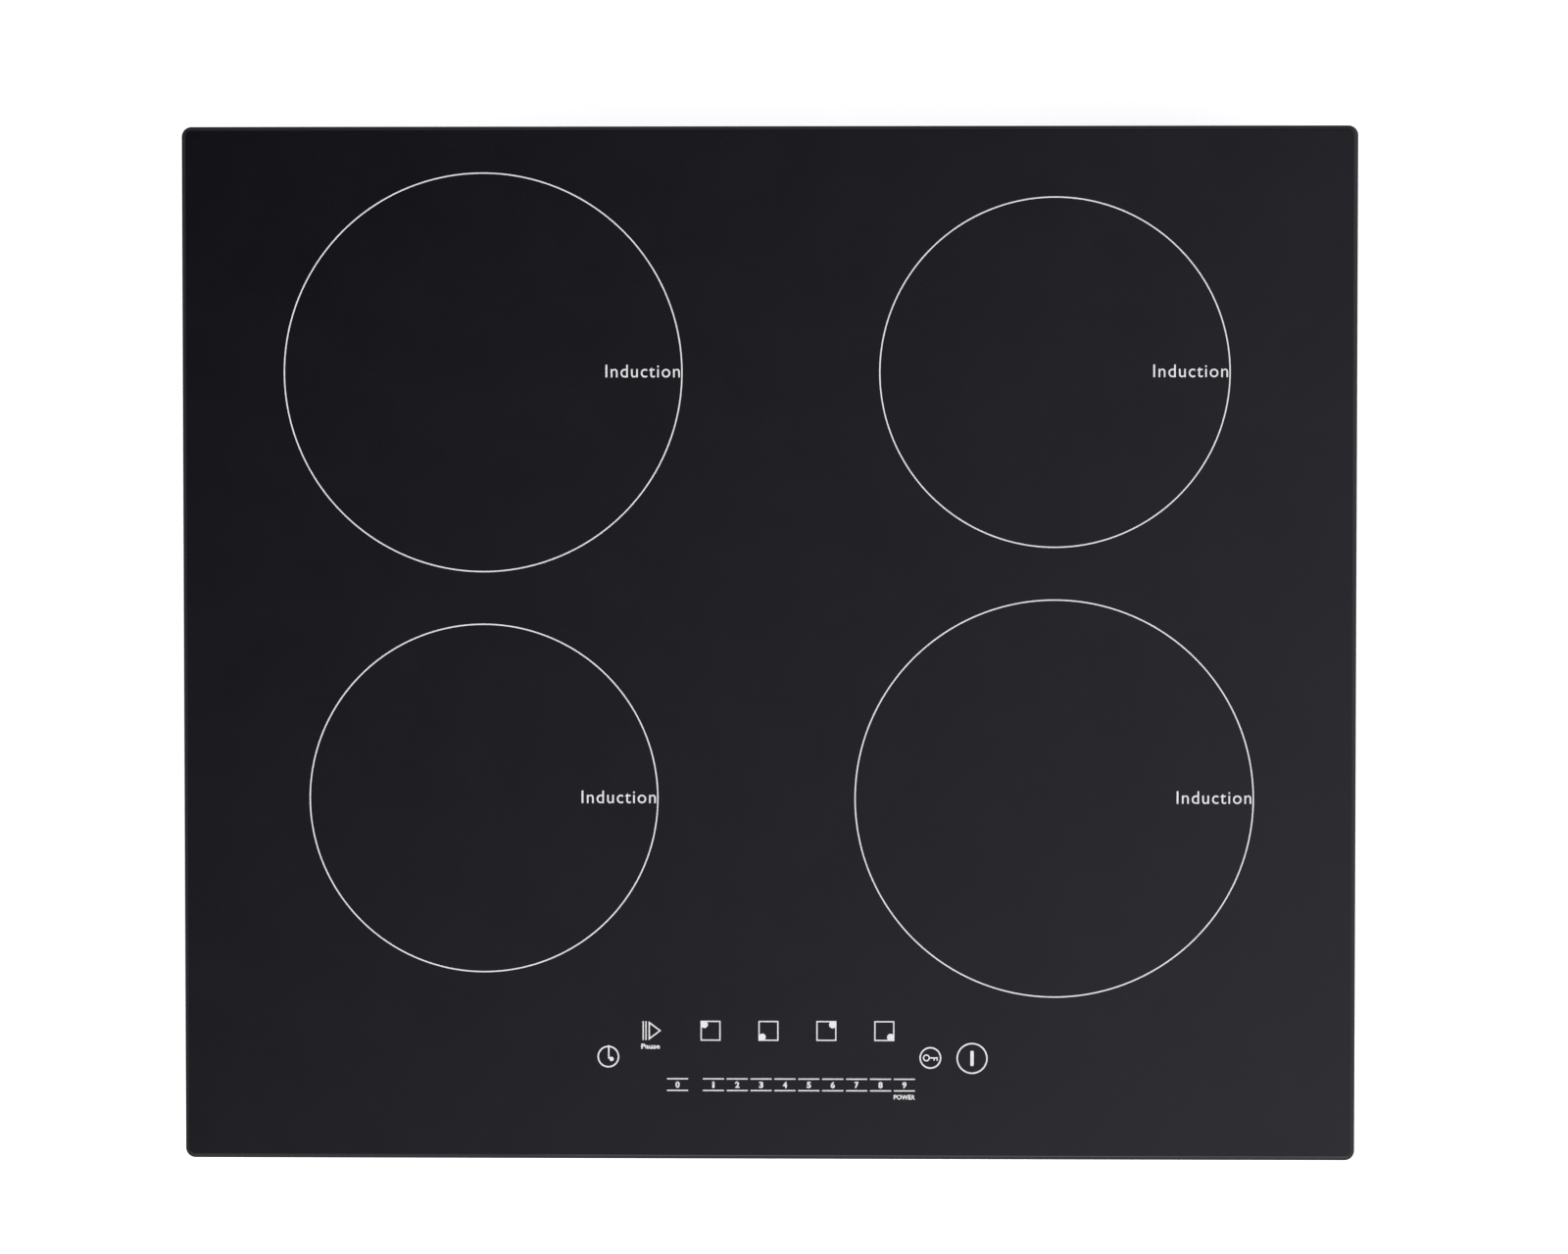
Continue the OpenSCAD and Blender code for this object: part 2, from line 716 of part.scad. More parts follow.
module clamp_nuts() {
    color("silver") for (i = [0:3]) at_clamp(i) translate([0, 0, pocket_h + sheet_t]) difference() {
        cylinder(r = clamp_nut_r, h = clamp_nut_h, $fn = 6);
        translate([0, 0, -EPS]) cylinder(r = clamp_screw_r, h = clamp_nut_h + 2 * EPS);
    }
}

// ---- coils ----

module mica_disc(i) {
    color([0.85, 0.8, 0.65]) at_zone(i) ring(COIL_R[i] + mica_rim, sleeve_r, mica_z, mica_t);
}

module coil_winding(i) {
    outer = COIL_R[i] - litz_d / 2;
    turns = floor((outer - litz_d / 2 - coil_hole_r) / litz_pitch);
    color([0.75, 0.4, 0.2]) at_zone(i) translate([0, 0, litz_z]) rotate_extrude()
        for (turn = [0:turns]) translate([outer - turn * litz_pitch, 0]) circle(d = litz_d);
}

module at_springs(i) {
    for (angle = SPRING_ANGLES) rotate(angle) translate([COIL_R[i] - spring_inset, 0]) children();
}

module coil_carrier(i) {
    color([0.25, 0.25, 0.27]) at_zone(i) difference() {
        union() {
            translate([0, 0, carrier_z]) cylinder(r = COIL_R[i] + carrier_rim, h = carrier_t);
            translate([0, 0, sensor_z]) cylinder(r = sleeve_r, h = mica_z - sensor_z);
            translate([0, 0, carrier_z - spring_pin_h]) at_springs(i)
                cylinder(r = spring_pin_r, h = spring_pin_h);
        }
        translate([0, 0, sensor_z - EPS]) cylinder(r = sensor_r + loose_gap, h = glass_z);
    }
}

module heat_sensor(i) {
    cap_h = 2;
    cap_r = sensor_r - 3;
    color("white") at_zone(i) {
        translate([0, 0, sensor_z - sensor_foot_t]) cylinder(r = sleeve_r, h = sensor_foot_t);
        translate([0, 0, sensor_z]) cylinder(r = sensor_r, h = glass_z - cap_h - sensor_z);
        translate([0, 0, glass_z - cap_h]) cylinder(r = cap_r, h = cap_h);
    }
}

module ferrite_bars() {
    color([0.2, 0.2, 0.2]) for (i = [0:3]) at_zone(i)
        for (k = [0:ferrite_count - 1]) rotate((k + 0.5) * 360 / ferrite_count)
            block([ferrite_start, -ferrite_w / 2, ferrite_z],
                [COIL_R[i] - ferrite_inset, ferrite_w / 2, carrier_z]);
}

module coil_springs() {
    turns = 3.5;
    steps = 12;
    rise = spring_h - spring_wire_d;
    mid_r = spring_r - spring_wire_d / 2;
    helix = [for (k = [0:turns * steps])
        [mid_r * cos(360 * k / steps), mid_r * sin(360 * k / steps),
            shield_top + spring_wire_d / 2 + rise * k / (turns * steps)]];
    color("silver") for (i = [0:3]) at_zone(i) at_springs(i)
        tube(helix, [spring_wire_d / 2, spring_wire_d / 2], [0, 0, 1], 6);
}

// The plate that carries the coils on its springs and stands on folded legs
module shield_plate() {
    color([0.8, 0.81, 0.83]) difference() {
        union() {
            block([-shield_x, shield_y0, shield_z], [shield_x, shield_y1, shield_top]);
            for (side = SIDES, y = SHIELD_LEGS) on_side(side)
                block([shield_x - shield_t, y - shield_leg_w / 2, sheet_t],
                    [shield_x, y + shield_leg_w / 2, shield_top]);
        }
        for (i = [0:3]) at_zone(i) translate([0, 0, shield_z - EPS])
            cylinder(r = shield_hole_r, h = shield_t + 2 * EPS);
    }
}

// ---- power electronics, drawn for the right ----

module at_standoffs() {
    for (x = [board_side + standoff_inset, board_far - standoff_inset])
        for (y = [board_front + standoff_inset, board_rear - standoff_inset])
            translate([x, y]) children();
}

module power_board() {
    color([0.1, 0.35, 0.2]) difference() {
        block([board_side, board_front, board_z], [board_far, board_rear, board_top]);
        at_standoffs() translate([0, 0, board_z - EPS]) cylinder(r = pin_r + loose_gap, h = board_t + 2 * EPS);
    }
}

module board_standoffs() {
    color("ivory") for (side = SIDES) on_side(side) at_standoffs() {
        translate([0, 0, sheet_t]) cylinder(r = standoff_r, h = standoff_h);
        translate([0, 0, sheet_t]) cylinder(r = pin_r, h = standoff_h + board_t);
        translate([0, 0, board_top]) cylinder(r = pin_head_r, h = pin_head_h);
    }
}

module insulation_sheets() {
    color([0.9, 0.9, 0.92]) for (side = SIDES) on_side(side) difference() {
        block([board_side, board_front, sheet_t], [board_far, board_rear, sheet_t + insulation_t]);
        at_standoffs() cylinder(r = standoff_r + loose_gap, h = board_z);
    }
}

module heat_sink() {
    step = (sink_w - sink_wall - fin_t) / fin_count;
    color([0.7, 0.71, 0.73])
    translate([sink_x, board_rear, board_top]) rotate([90, 0, 0]) linear_extrude(sink_len) {
        square([sink_w, sink_base]);
        translate([sink_w - sink_wall, 0]) square([sink_wall, sink_h]);
        for (i = [0:fin_count - 1]) translate([i * step, 0]) square([fin_t, sink_h]);
    }
}

module power_transistors() {
    lift = 1.5;
    color([0.15, 0.15, 0.16]) for (side = SIDES, i = [0:3]) on_side(side)
        translate([sink_x + sink_w, board_rear - (i + 1) * transistor_pitch, board_top + lift]) difference() {
            cube(transistor_size);
            translate([-EPS, transistor_size[1] / 2, transistor_size[2] - 4]) rotate([0, 90, 0])
                cylinder(r = 1.8, h = transistor_size[0] + 2 * EPS);
        }
}

module film_capacitors() {
    color([0.75, 0.2, 0.15]) for (side = SIDES, i = [0:1], k = [0:1]) on_side(side)
        translate([capacitor_x + i * capacitor_pitch[0], capacitor_y - k * capacitor_pitch[1], board_top])
            cube(capacitor_size);
}

module filter_chokes() {
    wrap_r = (choke_core_d + choke_wire_d) / 2;
    color([0.8, 0.5, 0.2]) for (side = SIDES) on_side(side)
        translate([sink_x + sink_w / 2, board_rear - sink_len - 40, board_top + wrap_r + choke_wire_d / 2]) {
            rotate_extrude() translate([choke_core_r, 0]) circle(d = choke_core_d);
            for (turn = [0:choke_turns - 1]) rotate(turn * 360 / choke_turns) translate([choke_core_r, 0])
                rotate([90, 0, 0]) rotate_extrude() translate([wrap_r, 0]) circle(d = choke_wire_d);
        }
}

module relays() {
    color([0.2, 0.3, 0.6]) for (side = SIDES, i = [0:1]) on_side(side)
        translate([sink_x + i * relay_pitch, board_front + 12, board_top]) cube(relay_size);
}

// ---- fans, drawn for the right ----

module at_fan(z) {
    translate([fan_side, fan_y, z]) children();
}

// The housing's outline: a drum with an outlet towards the heat sink
module fan_outline(r) {
    circle(r);
    translate([0, -fan_case_r]) square([r, fan_case_r]);
}

module fan_housing() {
    color([0.2, 0.2, 0.22]) at_fan(fan_z) difference() {
        linear_extrude(fan_h) fan_outline(fan_case_r);
        translate([0, 0, fan_wall]) linear_extrude(fan_h - 2 * fan_wall) {
            fan_outline(scroll_r);
            translate([0, -fan_case_r - EPS]) square([scroll_r, fan_case_r]);
        }
        translate([0, 0, -EPS]) cylinder(r = intake_r, h = fan_wall + 2 * EPS);
    }
}

module fan_motor() {
    color([0.3, 0.3, 0.3]) at_fan(motor_z) difference() {
        cylinder(r = motor_r, h = fan_top - fan_wall - motor_z);
        translate([0, 0, -EPS])
            cylinder(r = fan_shaft_d / 2 + running_gap, h = shaft_z + shaft_len - motor_z + 2 * EPS);
    }
}

module fan_shaft() {
    color("silver") at_fan(shaft_z) cylinder(d = fan_shaft_d, h = shaft_len);
}

// A hub and cup round the motor, with a back plate that carries blades and a shroud ring
module fan_impeller() {
    bore_r = fan_shaft_d / 2;
    inner_r = cup_r - cup_wall;
    cup_top = cup_z + cup_wall;
    back_top = back_z + back_t;
    blade_z = shroud_z + shroud_t / 2;
    color([0.12, 0.12, 0.12]) at_fan(0) {
        rotate_extrude() polygon([[bore_r, shaft_z], [hub_r, shaft_z], [hub_r, cup_z], [cup_r, cup_z],
            [cup_r, back_z], [impeller_r, back_z], [impeller_r, back_top], [inner_r, back_top],
            [inner_r, cup_top], [bore_r, cup_top]]);
        ring(impeller_r, impeller_r - shroud_w, shroud_z, shroud_t);
        translate([0, 0, blade_z]) linear_extrude(back_z + back_t / 2 - blade_z)
            for (i = [0:blade_count - 1]) rotate(i * 360 / blade_count)
                translate([impeller_r - blade_inset, 0]) rotate(blade_turn)
                    translate([-blade_len, -blade_t / 2]) square([blade_len, blade_t]);
    }
}

// ---- controls ----

module control_trough() {
    color([0.25, 0.25, 0.27]) {
        difference() {
            block([control_x0, control_y0, trough_z], [control_x1, control_y1, control_board_top + 1]);
            block([control_x0 + trough_wall, control_y0 + trough_wall, trough_top],
                [control_x1 - trough_wall, control_y1 - trough_wall, glass_z]);
        }
        for (x = [control_x0 + post_inset, control_x1 - post_inset])
            for (y = [control_y0 + post_inset, control_y1 - post_inset])
                translate([x, y, trough_z]) cylinder(r = trough_post_r, h = control_board_z - trough_z);
        for (x = [control_x0 + leg_inset, control_x1 - leg_inset])
            for (y = [control_y0 + leg_inset, control_y1 - leg_inset])
                translate([x, y, sheet_t]) cylinder(r = trough_leg_r, h = trough_top - sheet_t);
    }
}

module control_board() {
    margin = trough_wall + loose_gap;
    color([0.1, 0.35, 0.2])
        block([control_x0 + margin, control_y0 + margin, control_board_z],
            [control_x1 - margin, control_y1 - margin, control_board_top]);
}

module display_modules() {
    color([0.15, 0.15, 0.15]) for (x = DISPLAY_X) at_key([x, display_y])
        translate([-display_size[0] / 2, -display_size[1] / 2, control_board_top]) cube(display_size);
}

module touch_contacts() {
    color([0.3, 0.3, 0.32]) {
        for (key = KEYS) at_key(key)
            ring(key_pad_d / 2, key_pad_d / 2 - contact_wall, control_board_top, touch_gap);
        for (x = SLIDER_KEYS) at_key([x, slider_y])
            ring(slider_pad_d / 2, slider_pad_d / 2 - contact_wall, control_board_top, touch_gap);
    }
}

// ---- mains terminal ----

module terminal_box() {
    mouth = [[cover_x0 + mouth_rim, box_z0 + terminal_wall + 2], [cover_x1 - mouth_rim, cover_top - mouth_rim]];
    color([0.15, 0.15, 0.16]) {
        difference() {
            union() {
                block([box_x0, box_y0, box_z0], [box_x1, recess_y, box_z1]);
                block([recess_x0 + flange_gap, recess_y, box_z0 - 1],
                    [recess_x1 - flange_gap, flange_y, recess_h - flange_gap]);
            }
            block([box_x0 + terminal_wall, box_y0 + terminal_wall, box_z0 + terminal_wall],
                [box_x1 - terminal_wall, recess_y, box_z1 - terminal_wall]);
            block([mouth[0][0], recess_y - EPS, mouth[0][1]], [mouth[1][0], flange_y + EPS, mouth[1][1]]);
            translate([grommet_x, recess_y - EPS, grommet_z]) rotate([-90, 0, 0])
                cylinder(r = grommet_r, h = flange_t + 2 * EPS);
            for (i = [-1:1]) translate([mains_x + i * terminal_pitch, box_y0 - EPS, mains_z])
                rotate([-90, 0, 0]) cylinder(r = wall_hole_r, h = terminal_wall + 2 * EPS);
        }
        for (x = [lug_x0, cover_x1 + loose_gap])
            block([x, recess_y, hinge_z - 2], [x + lug_t, hinge_y + barrel_r, hinge_z + barrel_r]);
        for (x = [lug_x0, cover_x1 + loose_gap - cover_pin_len])
            translate([x, hinge_y, hinge_z]) rotate([0, 90, 0])
                cylinder(d = cover_pin_d, h = cover_pin_len + lug_t);
    }
}
module terminal_block() {
    color([0.9, 0.9, 0.88]) difference() {
        translate([block_x, block_y, block_z]) cube(block_size);
        for (i = [0:terminal_count - 1])
            translate([block_x + block_size[0] / 2 + (i - (terminal_count - 1) / 2) * terminal_pitch, 0]) {
                translate([0, block_y + 4, mains_z]) rotate([-90, 0, 0])
                    cylinder(r = wire_hole_r, h = block_size[1]);
                translate([0, block_y + block_size[1] - 6, mains_z + 3])
                    cylinder(r = screw_well_r, h = block_size[2]);
            }
    }
}

module terminal_cover() {
    bore = cover_pin_d / 2 + running_gap;
    color([0.15, 0.15, 0.16]) difference() {
        union() {
            block([cover_x0, cover_y, hinge_z], [cover_x1, cover_y + cover_t, cover_top]);
            translate([cover_x0, hinge_y, hinge_z]) rotate([0, 90, 0])
                cylinder(r = barrel_r, h = cover_x1 - cover_x0);
            block([cover_x0 + grip_inset, cover_y, cover_top - 2 * grip_t],
                [cover_x1 - grip_inset, cover_y + cover_t + grip_t, cover_top - grip_t]);
        }
        translate([cover_x0 - EPS, hinge_y, hinge_z]) rotate([0, 90, 0])
            cylinder(r = bore, h = cover_x1 - cover_x0 + 2 * EPS);
    }
}

module cable_grommet() {
    mid = (recess_y + flange_y) / 2;
    color([0.1, 0.1, 0.1]) translate([grommet_x, mid, grommet_z]) rotate([-90, 0, 0]) difference() {
        union() {
            translate([0, 0, -grommet_len / 2]) cylinder(r = grommet_r, h = grommet_len);
            for (z = [-flange_t / 2 - grommet_flange_t, flange_t / 2])
                translate([0, 0, z]) cylinder(r = grommet_flange_r, h = grommet_flange_t);
        }
        translate([0, 0, -grommet_len / 2 - EPS]) cylinder(d = cable_d, h = grommet_len + 2 * EPS);
    }
}

// ---- wires ----

module wire_harness() {
    color([0.75, 0.75, 0.7]) {
        for (side = SIDES) on_side(side) {
            for (shift = [-lead_gap, lead_gap]) {
                translate([shift, 0]) wire(FRONT_LEAD, lead_r);
                translate([shift, 0]) wire(REAR_LEAD, lead_r);
            }
            wire(FAN_LEAD, thin_lead_r);
        }
        for (i = [-1:1]) translate([mains_x + i * terminal_pitch, 0]) wire(MAINS_WIRE, lead_r);
        tube(smooth(RIBBON), ribbon_half, [1, 0, 0], wire_sides);
    }
}

// ---- the nodes ----

glass_top();
rim_seal();
tray();
tray_screws();
ferrite_bars();
coil_springs();
shield_plate();
film_capacitors();
filter_chokes();
power_transistors();
relays();
board_standoffs();
insulation_sheets();
control_trough();
control_board();
display_modules();
touch_contacts();
terminal_box();
terminal_block();
terminal_cover();
cable_grommet();
clamp_screws();
clamp_nuts();
wire_harness();
rating_plate();
for (i = [0:3]) {
    mica_disc(i);
    coil_winding(i);
    coil_carrier(i);
    heat_sensor(i);
    clamp(i);
}
for (side = SIDES) {
    on_side(side) glass_rail();
    on_side(side) power_board();
    on_side(side) heat_sink();
    on_side(side) fan_housing();
    on_side(side) fan_motor();
    on_side(side) fan_shaft();
    on_side(side) fan_impeller();
}
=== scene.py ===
"""The looks of a built-in induction hob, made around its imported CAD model.

Metres, with +X right, +Y back and +Z up.
"""
import json
import math

import bmesh
import bpy
from mathutils import Matrix, Vector

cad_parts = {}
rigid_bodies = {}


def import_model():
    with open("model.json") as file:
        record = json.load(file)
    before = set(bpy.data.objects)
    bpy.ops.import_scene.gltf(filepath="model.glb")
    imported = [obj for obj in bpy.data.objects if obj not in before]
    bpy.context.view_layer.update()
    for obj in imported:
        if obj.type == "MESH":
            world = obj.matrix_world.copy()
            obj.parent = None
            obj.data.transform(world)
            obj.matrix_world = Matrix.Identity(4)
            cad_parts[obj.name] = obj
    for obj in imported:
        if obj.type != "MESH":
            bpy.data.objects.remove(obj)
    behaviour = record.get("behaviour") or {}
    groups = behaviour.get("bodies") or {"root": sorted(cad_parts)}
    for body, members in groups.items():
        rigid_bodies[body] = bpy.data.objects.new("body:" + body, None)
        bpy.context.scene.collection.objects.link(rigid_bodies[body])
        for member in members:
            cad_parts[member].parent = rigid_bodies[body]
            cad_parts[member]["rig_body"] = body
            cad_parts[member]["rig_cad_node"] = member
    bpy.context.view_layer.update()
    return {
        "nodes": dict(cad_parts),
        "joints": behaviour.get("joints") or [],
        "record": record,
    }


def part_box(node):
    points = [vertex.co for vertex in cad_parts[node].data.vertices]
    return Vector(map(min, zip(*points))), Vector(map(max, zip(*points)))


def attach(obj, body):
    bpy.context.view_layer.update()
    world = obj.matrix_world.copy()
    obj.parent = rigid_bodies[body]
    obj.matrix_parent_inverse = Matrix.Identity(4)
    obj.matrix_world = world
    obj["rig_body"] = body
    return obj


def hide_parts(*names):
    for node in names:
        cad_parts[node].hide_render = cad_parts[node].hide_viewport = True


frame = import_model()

MM = 0.001
RIGHT, BACK, UP = Vector((1, 0, 0)), Vector((0, 1, 0)), Vector((0, 0, 1))

ZONES = ("rear_left", "rear_right", "front_left", "front_right")

# Places taken from the frame
GLASS_LOW, GLASS_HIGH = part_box("glass_top")
SEAL_LOW, SEAL_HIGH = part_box("rim_seal")
TRAY_LOW, TRAY_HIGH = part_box("tray")
BOX_LOW, BOX_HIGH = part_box("terminal_box")
CONTROL_LOW, CONTROL_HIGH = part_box("control_trough")
BOARD_LOW, BOARD_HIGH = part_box("power_board_right")
JOINT_AT = {joint["name"]: Vector(joint["pos_m"]) for joint in frame["joints"]}
CLAMP_AT = {zone: JOINT_AT[f"clamp_swing_{zone}"] for zone in ZONES}
SLOT_OF = {part["node"]: part["material_slot"] for part in frame["record"]["subparts"]}


def middle(node):
    low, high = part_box(node)
    return (low + high) / 2


# ---- hands: the few operations that every piece is made with ----


def alone(*objs):
    """Selects these objects only. The last one is active."""
    bpy.ops.object.select_all(action="DESELECT")
    for obj in objs:
        obj.select_set(True)
        bpy.context.view_layer.objects.active = obj
    return objs[-1]


def named(name):
    """Names the object that an operator has just added."""
    obj = bpy.context.object
    obj.name = obj.data.name = name
    return alone(obj)


def enter(kind="FACE"):
    bpy.ops.object.mode_set(mode="EDIT")
    bpy.ops.mesh.select_mode(type=kind)
    bpy.ops.mesh.select_all(action="SELECT")


def leave():
    bpy.ops.object.mode_set(mode="OBJECT")


def pick(kind, test):
    """In edit mode, selects only the faces, edges or verts that pass the test."""
    bpy.ops.mesh.select_mode(type=kind[:-1].upper())
    bpy.ops.mesh.select_all(action="DESELECT")
    data = bpy.context.edit_object.data
    shape = bmesh.from_edit_mesh(data)
    for item in getattr(shape, kind):
        item.select_set(test(item))
    bmesh.update_edit_mesh(data)


def edge_middle(edge):
    return (edge.verts[0].co + edge.verts[1].co) / 2


def edge_run(edge):
    return (edge.verts[1].co - edge.verts[0].co).normalized()


def settle(obj):
    """Puts the object's place into its mesh."""
    alone(obj)
    bpy.ops.object.transform_apply(location=True, rotation=True, scale=True)
    return obj


def modify(obj, kind, **settings):
    """Adds a modifier with these settings and applies it."""
    alone(obj)
    modifier = obj.modifiers.new(kind.title(), kind)
    for key, value in settings.items():
        setattr(modifier, key, value)
    bpy.ops.object.modifier_apply(modifier=modifier.name)


def shade(obj, angle=30):
    """Smooths the shading across rounded edges and keeps the flat faces flat."""
    alone(obj)
    bpy.ops.object.shade_smooth_by_angle(angle=math.radians(angle))
    modify(obj, "WEIGHTED_NORMAL", keep_sharp=True)


def soften(obj, width, segments=3, angle=30):
    """Rounds every edge that is sharper than the angle, and shades the rest flat."""
    modify(obj, "BEVEL", width=width, segments=segments, limit_method="ANGLE",
           angle_limit=math.radians(angle), miter_outer="MITER_ARC")
    shade(obj, angle)


def join(name, pieces):
    """Makes one piece of several."""
    alone(*pieces)
    bpy.ops.object.join()
    return named(name)


def fit(obj, slot, body="root", stands_for=()):
    """Gives a finished piece its slot, that slot's finish, and its body."""
    settle(obj)
    obj.data.materials.clear()
    obj.data.materials.append(FINISHES[slot])
    if stands_for:
        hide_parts(*stands_for)
    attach(obj, body)


# ---- shader building blocks ----


def add(tree, kind, **settings):
    node = tree.nodes.new(kind)
    for key, value in settings.items():
        if key in node.inputs:
            node.inputs[key].default_value = value
        else:
            setattr(node, key, value)
    return node


def chain(tree, source, target):
    tree.links.new(source, target)


def effect(name, inputs, outputs):
    """An empty node group. inputs are (kind, name, value), outputs are (kind, name)."""
    tree = bpy.data.node_groups.new(name, "ShaderNodeTree")
    for kind, label, value in inputs:
        tree.interface.new_socket(label, in_out="INPUT", socket_type=kind).default_value = value
    for kind, label in outputs:
        tree.interface.new_socket(label, in_out="OUTPUT", socket_type=kind)
    return tree, add(tree, "NodeGroupInput").outputs, add(tree, "NodeGroupOutput").inputs


VECTOR, COLOUR, NUMBER = "NodeSocketVector", "NodeSocketColor", "NodeSocketFloat"
# A Mix node's own sockets: its two colours and their blend, and its two vectors and theirs
MIX_A, MIX_B, MIXED = 6, 7, 2
WAY_A, WAY_B, WAY = 4, 5, 1


def make_tone_effect():
    """Drifts between two colours in soft patches."""
    tree, given, result = effect(
        "tone_drift",
        [(VECTOR, "Place", (0, 0, 0)), (COLOUR, "Light", (1, 1, 1, 1)), (COLOUR, "Dark", (0, 0, 0, 1)),
         (NUMBER, "Scale", 10.0), (NUMBER, "Detail", 4.0)],
        [(COLOUR, "Colour")])
    noise = add(tree, "ShaderNodeTexNoise")
    spread = add(tree, "ShaderNodeMapRange", **{"From Min": 0.3, "From Max": 0.7})
    blend = add(tree, "ShaderNodeMix", data_type="RGBA")
    chain(tree, given["Place"], noise.inputs["Vector"])
    chain(tree, given["Scale"], noise.inputs["Scale"])
    chain(tree, given["Detail"], noise.inputs["Detail"])
    chain(tree, noise.outputs["Fac"], spread.inputs["Value"])
    chain(tree, spread.outputs["Result"], blend.inputs["Factor"])
    chain(tree, given["Dark"], blend.inputs[MIX_A])
    chain(tree, given["Light"], blend.inputs[MIX_B])
    chain(tree, blend.outputs[MIXED], result["Colour"])
    return tree


def make_grain_effect():
    """Fine grain for roughness and for the height of a bump."""
    tree, given, result = effect(
        "fine_grain",
        [(VECTOR, "Place", (0, 0, 0)), (NUMBER, "Scale", 1000.0),
         (NUMBER, "Smooth", 0.3), (NUMBER, "Rough", 0.5)],
        [(NUMBER, "Roughness"), (NUMBER, "Height")])
    noise = add(tree, "ShaderNodeTexNoise", Detail=3.0)
    spread = add(tree, "ShaderNodeMapRange", **{"From Min": 0.25, "From Max": 0.75})
    chain(tree, given["Place"], noise.inputs["Vector"])
    chain(tree, given["Scale"], noise.inputs["Scale"])
    chain(tree, noise.outputs["Fac"], spread.inputs["Value"])
    chain(tree, given["Smooth"], spread.inputs["To Min"])
    chain(tree, given["Rough"], spread.inputs["To Max"])
    chain(tree, spread.outputs["Result"], result["Roughness"])
    chain(tree, noise.outputs["Fac"], result["Height"])
    return tree


def make_dust_effect():
    """Dust that settles in specks on faces that look up."""
    tree, given, result = effect(
        "settled_dust",
        [(VECTOR, "Place", (0, 0, 0)), (COLOUR, "Colour", (1, 1, 1, 1)), (NUMBER, "Amount", 0.1)],
        [(COLOUR, "Colour")])
    shape = add(tree, "ShaderNodeNewGeometry")
    up = add(tree, "ShaderNodeSeparateXYZ")
    specks = add(tree, "ShaderNodeTexNoise", Scale=900.0, Detail=2.0)
    few = add(tree, "ShaderNodeMapRange", **{"From Min": 0.62, "From Max": 0.72})
    facing = add(tree, "ShaderNodeMapRange", **{"From Min": 0.6, "From Max": 1.0})
    lie = add(tree, "ShaderNodeMath", operation="MULTIPLY")
    scaled = add(tree, "ShaderNodeMath", operation="MULTIPLY")
    blend = add(tree, "ShaderNodeMix", data_type="RGBA")
    blend.inputs[MIX_B].default_value = (0.45, 0.44, 0.42, 1)
    chain(tree, shape.outputs["Normal"], up.inputs["Vector"])
    chain(tree, up.outputs["Z"], facing.inputs["Value"])
    chain(tree, given["Place"], specks.inputs["Vector"])
    chain(tree, specks.outputs["Fac"], few.inputs["Value"])
    chain(tree, few.outputs["Result"], lie.inputs[0])
    chain(tree, facing.outputs["Result"], lie.inputs[1])
    chain(tree, lie.outputs["Value"], scaled.inputs[0])
    chain(tree, given["Amount"], scaled.inputs[1])
    chain(tree, scaled.outputs["Value"], blend.inputs["Factor"])
    chain(tree, given["Colour"], blend.inputs[MIX_A])
    chain(tree, blend.outputs[MIXED], result["Colour"])
    return tree


def make_wear_effect():
    """Rounds the look of sharp edges and lightens them where they are rubbed."""
    tree, given, result = effect(
        "edge_wear",
        [(VECTOR, "Place", (0, 0, 0)), (COLOUR, "Colour", (1, 1, 1, 1)), (COLOUR, "Worn", (1, 1, 1, 1)),
         (NUMBER, "Width", 0.0004), (NUMBER, "Amount", 0.5)],
        [(COLOUR, "Colour"), (VECTOR, "Normal")])
    round_edge = add(tree, "ShaderNodeBevel", samples=4)
    shape = add(tree, "ShaderNodeNewGeometry")
    turn = add(tree, "ShaderNodeVectorMath", operation="DOT_PRODUCT")
    edge = add(tree, "ShaderNodeMapRange", **{"From Min": 0.995, "From Max": 0.85})
    broken = add(tree, "ShaderNodeTexNoise", Scale=260.0, Detail=4.0)
    rub = add(tree, "ShaderNodeMapRange", **{"From Min": 0.35, "From Max": 0.65})
    meet = add(tree, "ShaderNodeMath", operation="MULTIPLY")
    scaled = add(tree, "ShaderNodeMath", operation="MULTIPLY")
    blend = add(tree, "ShaderNodeMix", data_type="RGBA")
    chain(tree, given["Width"], round_edge.inputs["Radius"])
    chain(tree, round_edge.outputs["Normal"], turn.inputs[0])
    chain(tree, shape.outputs["Normal"], turn.inputs[1])
    chain(tree, turn.outputs["Value"], edge.inputs["Value"])
    chain(tree, given["Place"], broken.inputs["Vector"])
    chain(tree, broken.outputs["Fac"], rub.inputs["Value"])
    chain(tree, edge.outputs["Result"], meet.inputs[0])
    chain(tree, rub.outputs["Result"], meet.inputs[1])
    chain(tree, meet.outputs["Value"], scaled.inputs[0])
    chain(tree, given["Amount"], scaled.inputs[1])
    chain(tree, scaled.outputs["Value"], blend.inputs["Factor"])
    chain(tree, given["Colour"], blend.inputs[MIX_A])
    chain(tree, given["Worn"], blend.inputs[MIX_B])
    chain(tree, blend.outputs[MIXED], result["Colour"])
    chain(tree, round_edge.outputs["Normal"], result["Normal"])
    return tree


TONE = make_tone_effect()
GRAIN = make_grain_effect()
DUST = make_dust_effect()
WEAR = make_wear_effect()


def place_effect(tree, group, **values):
    node = add(tree, "ShaderNodeGroup", node_tree=group)
    for key, value in values.items():
        node.inputs[key].default_value = value
    return node


def rgb(red, green, blue):
    return (red, green, blue, 1)


FINISHES = {}


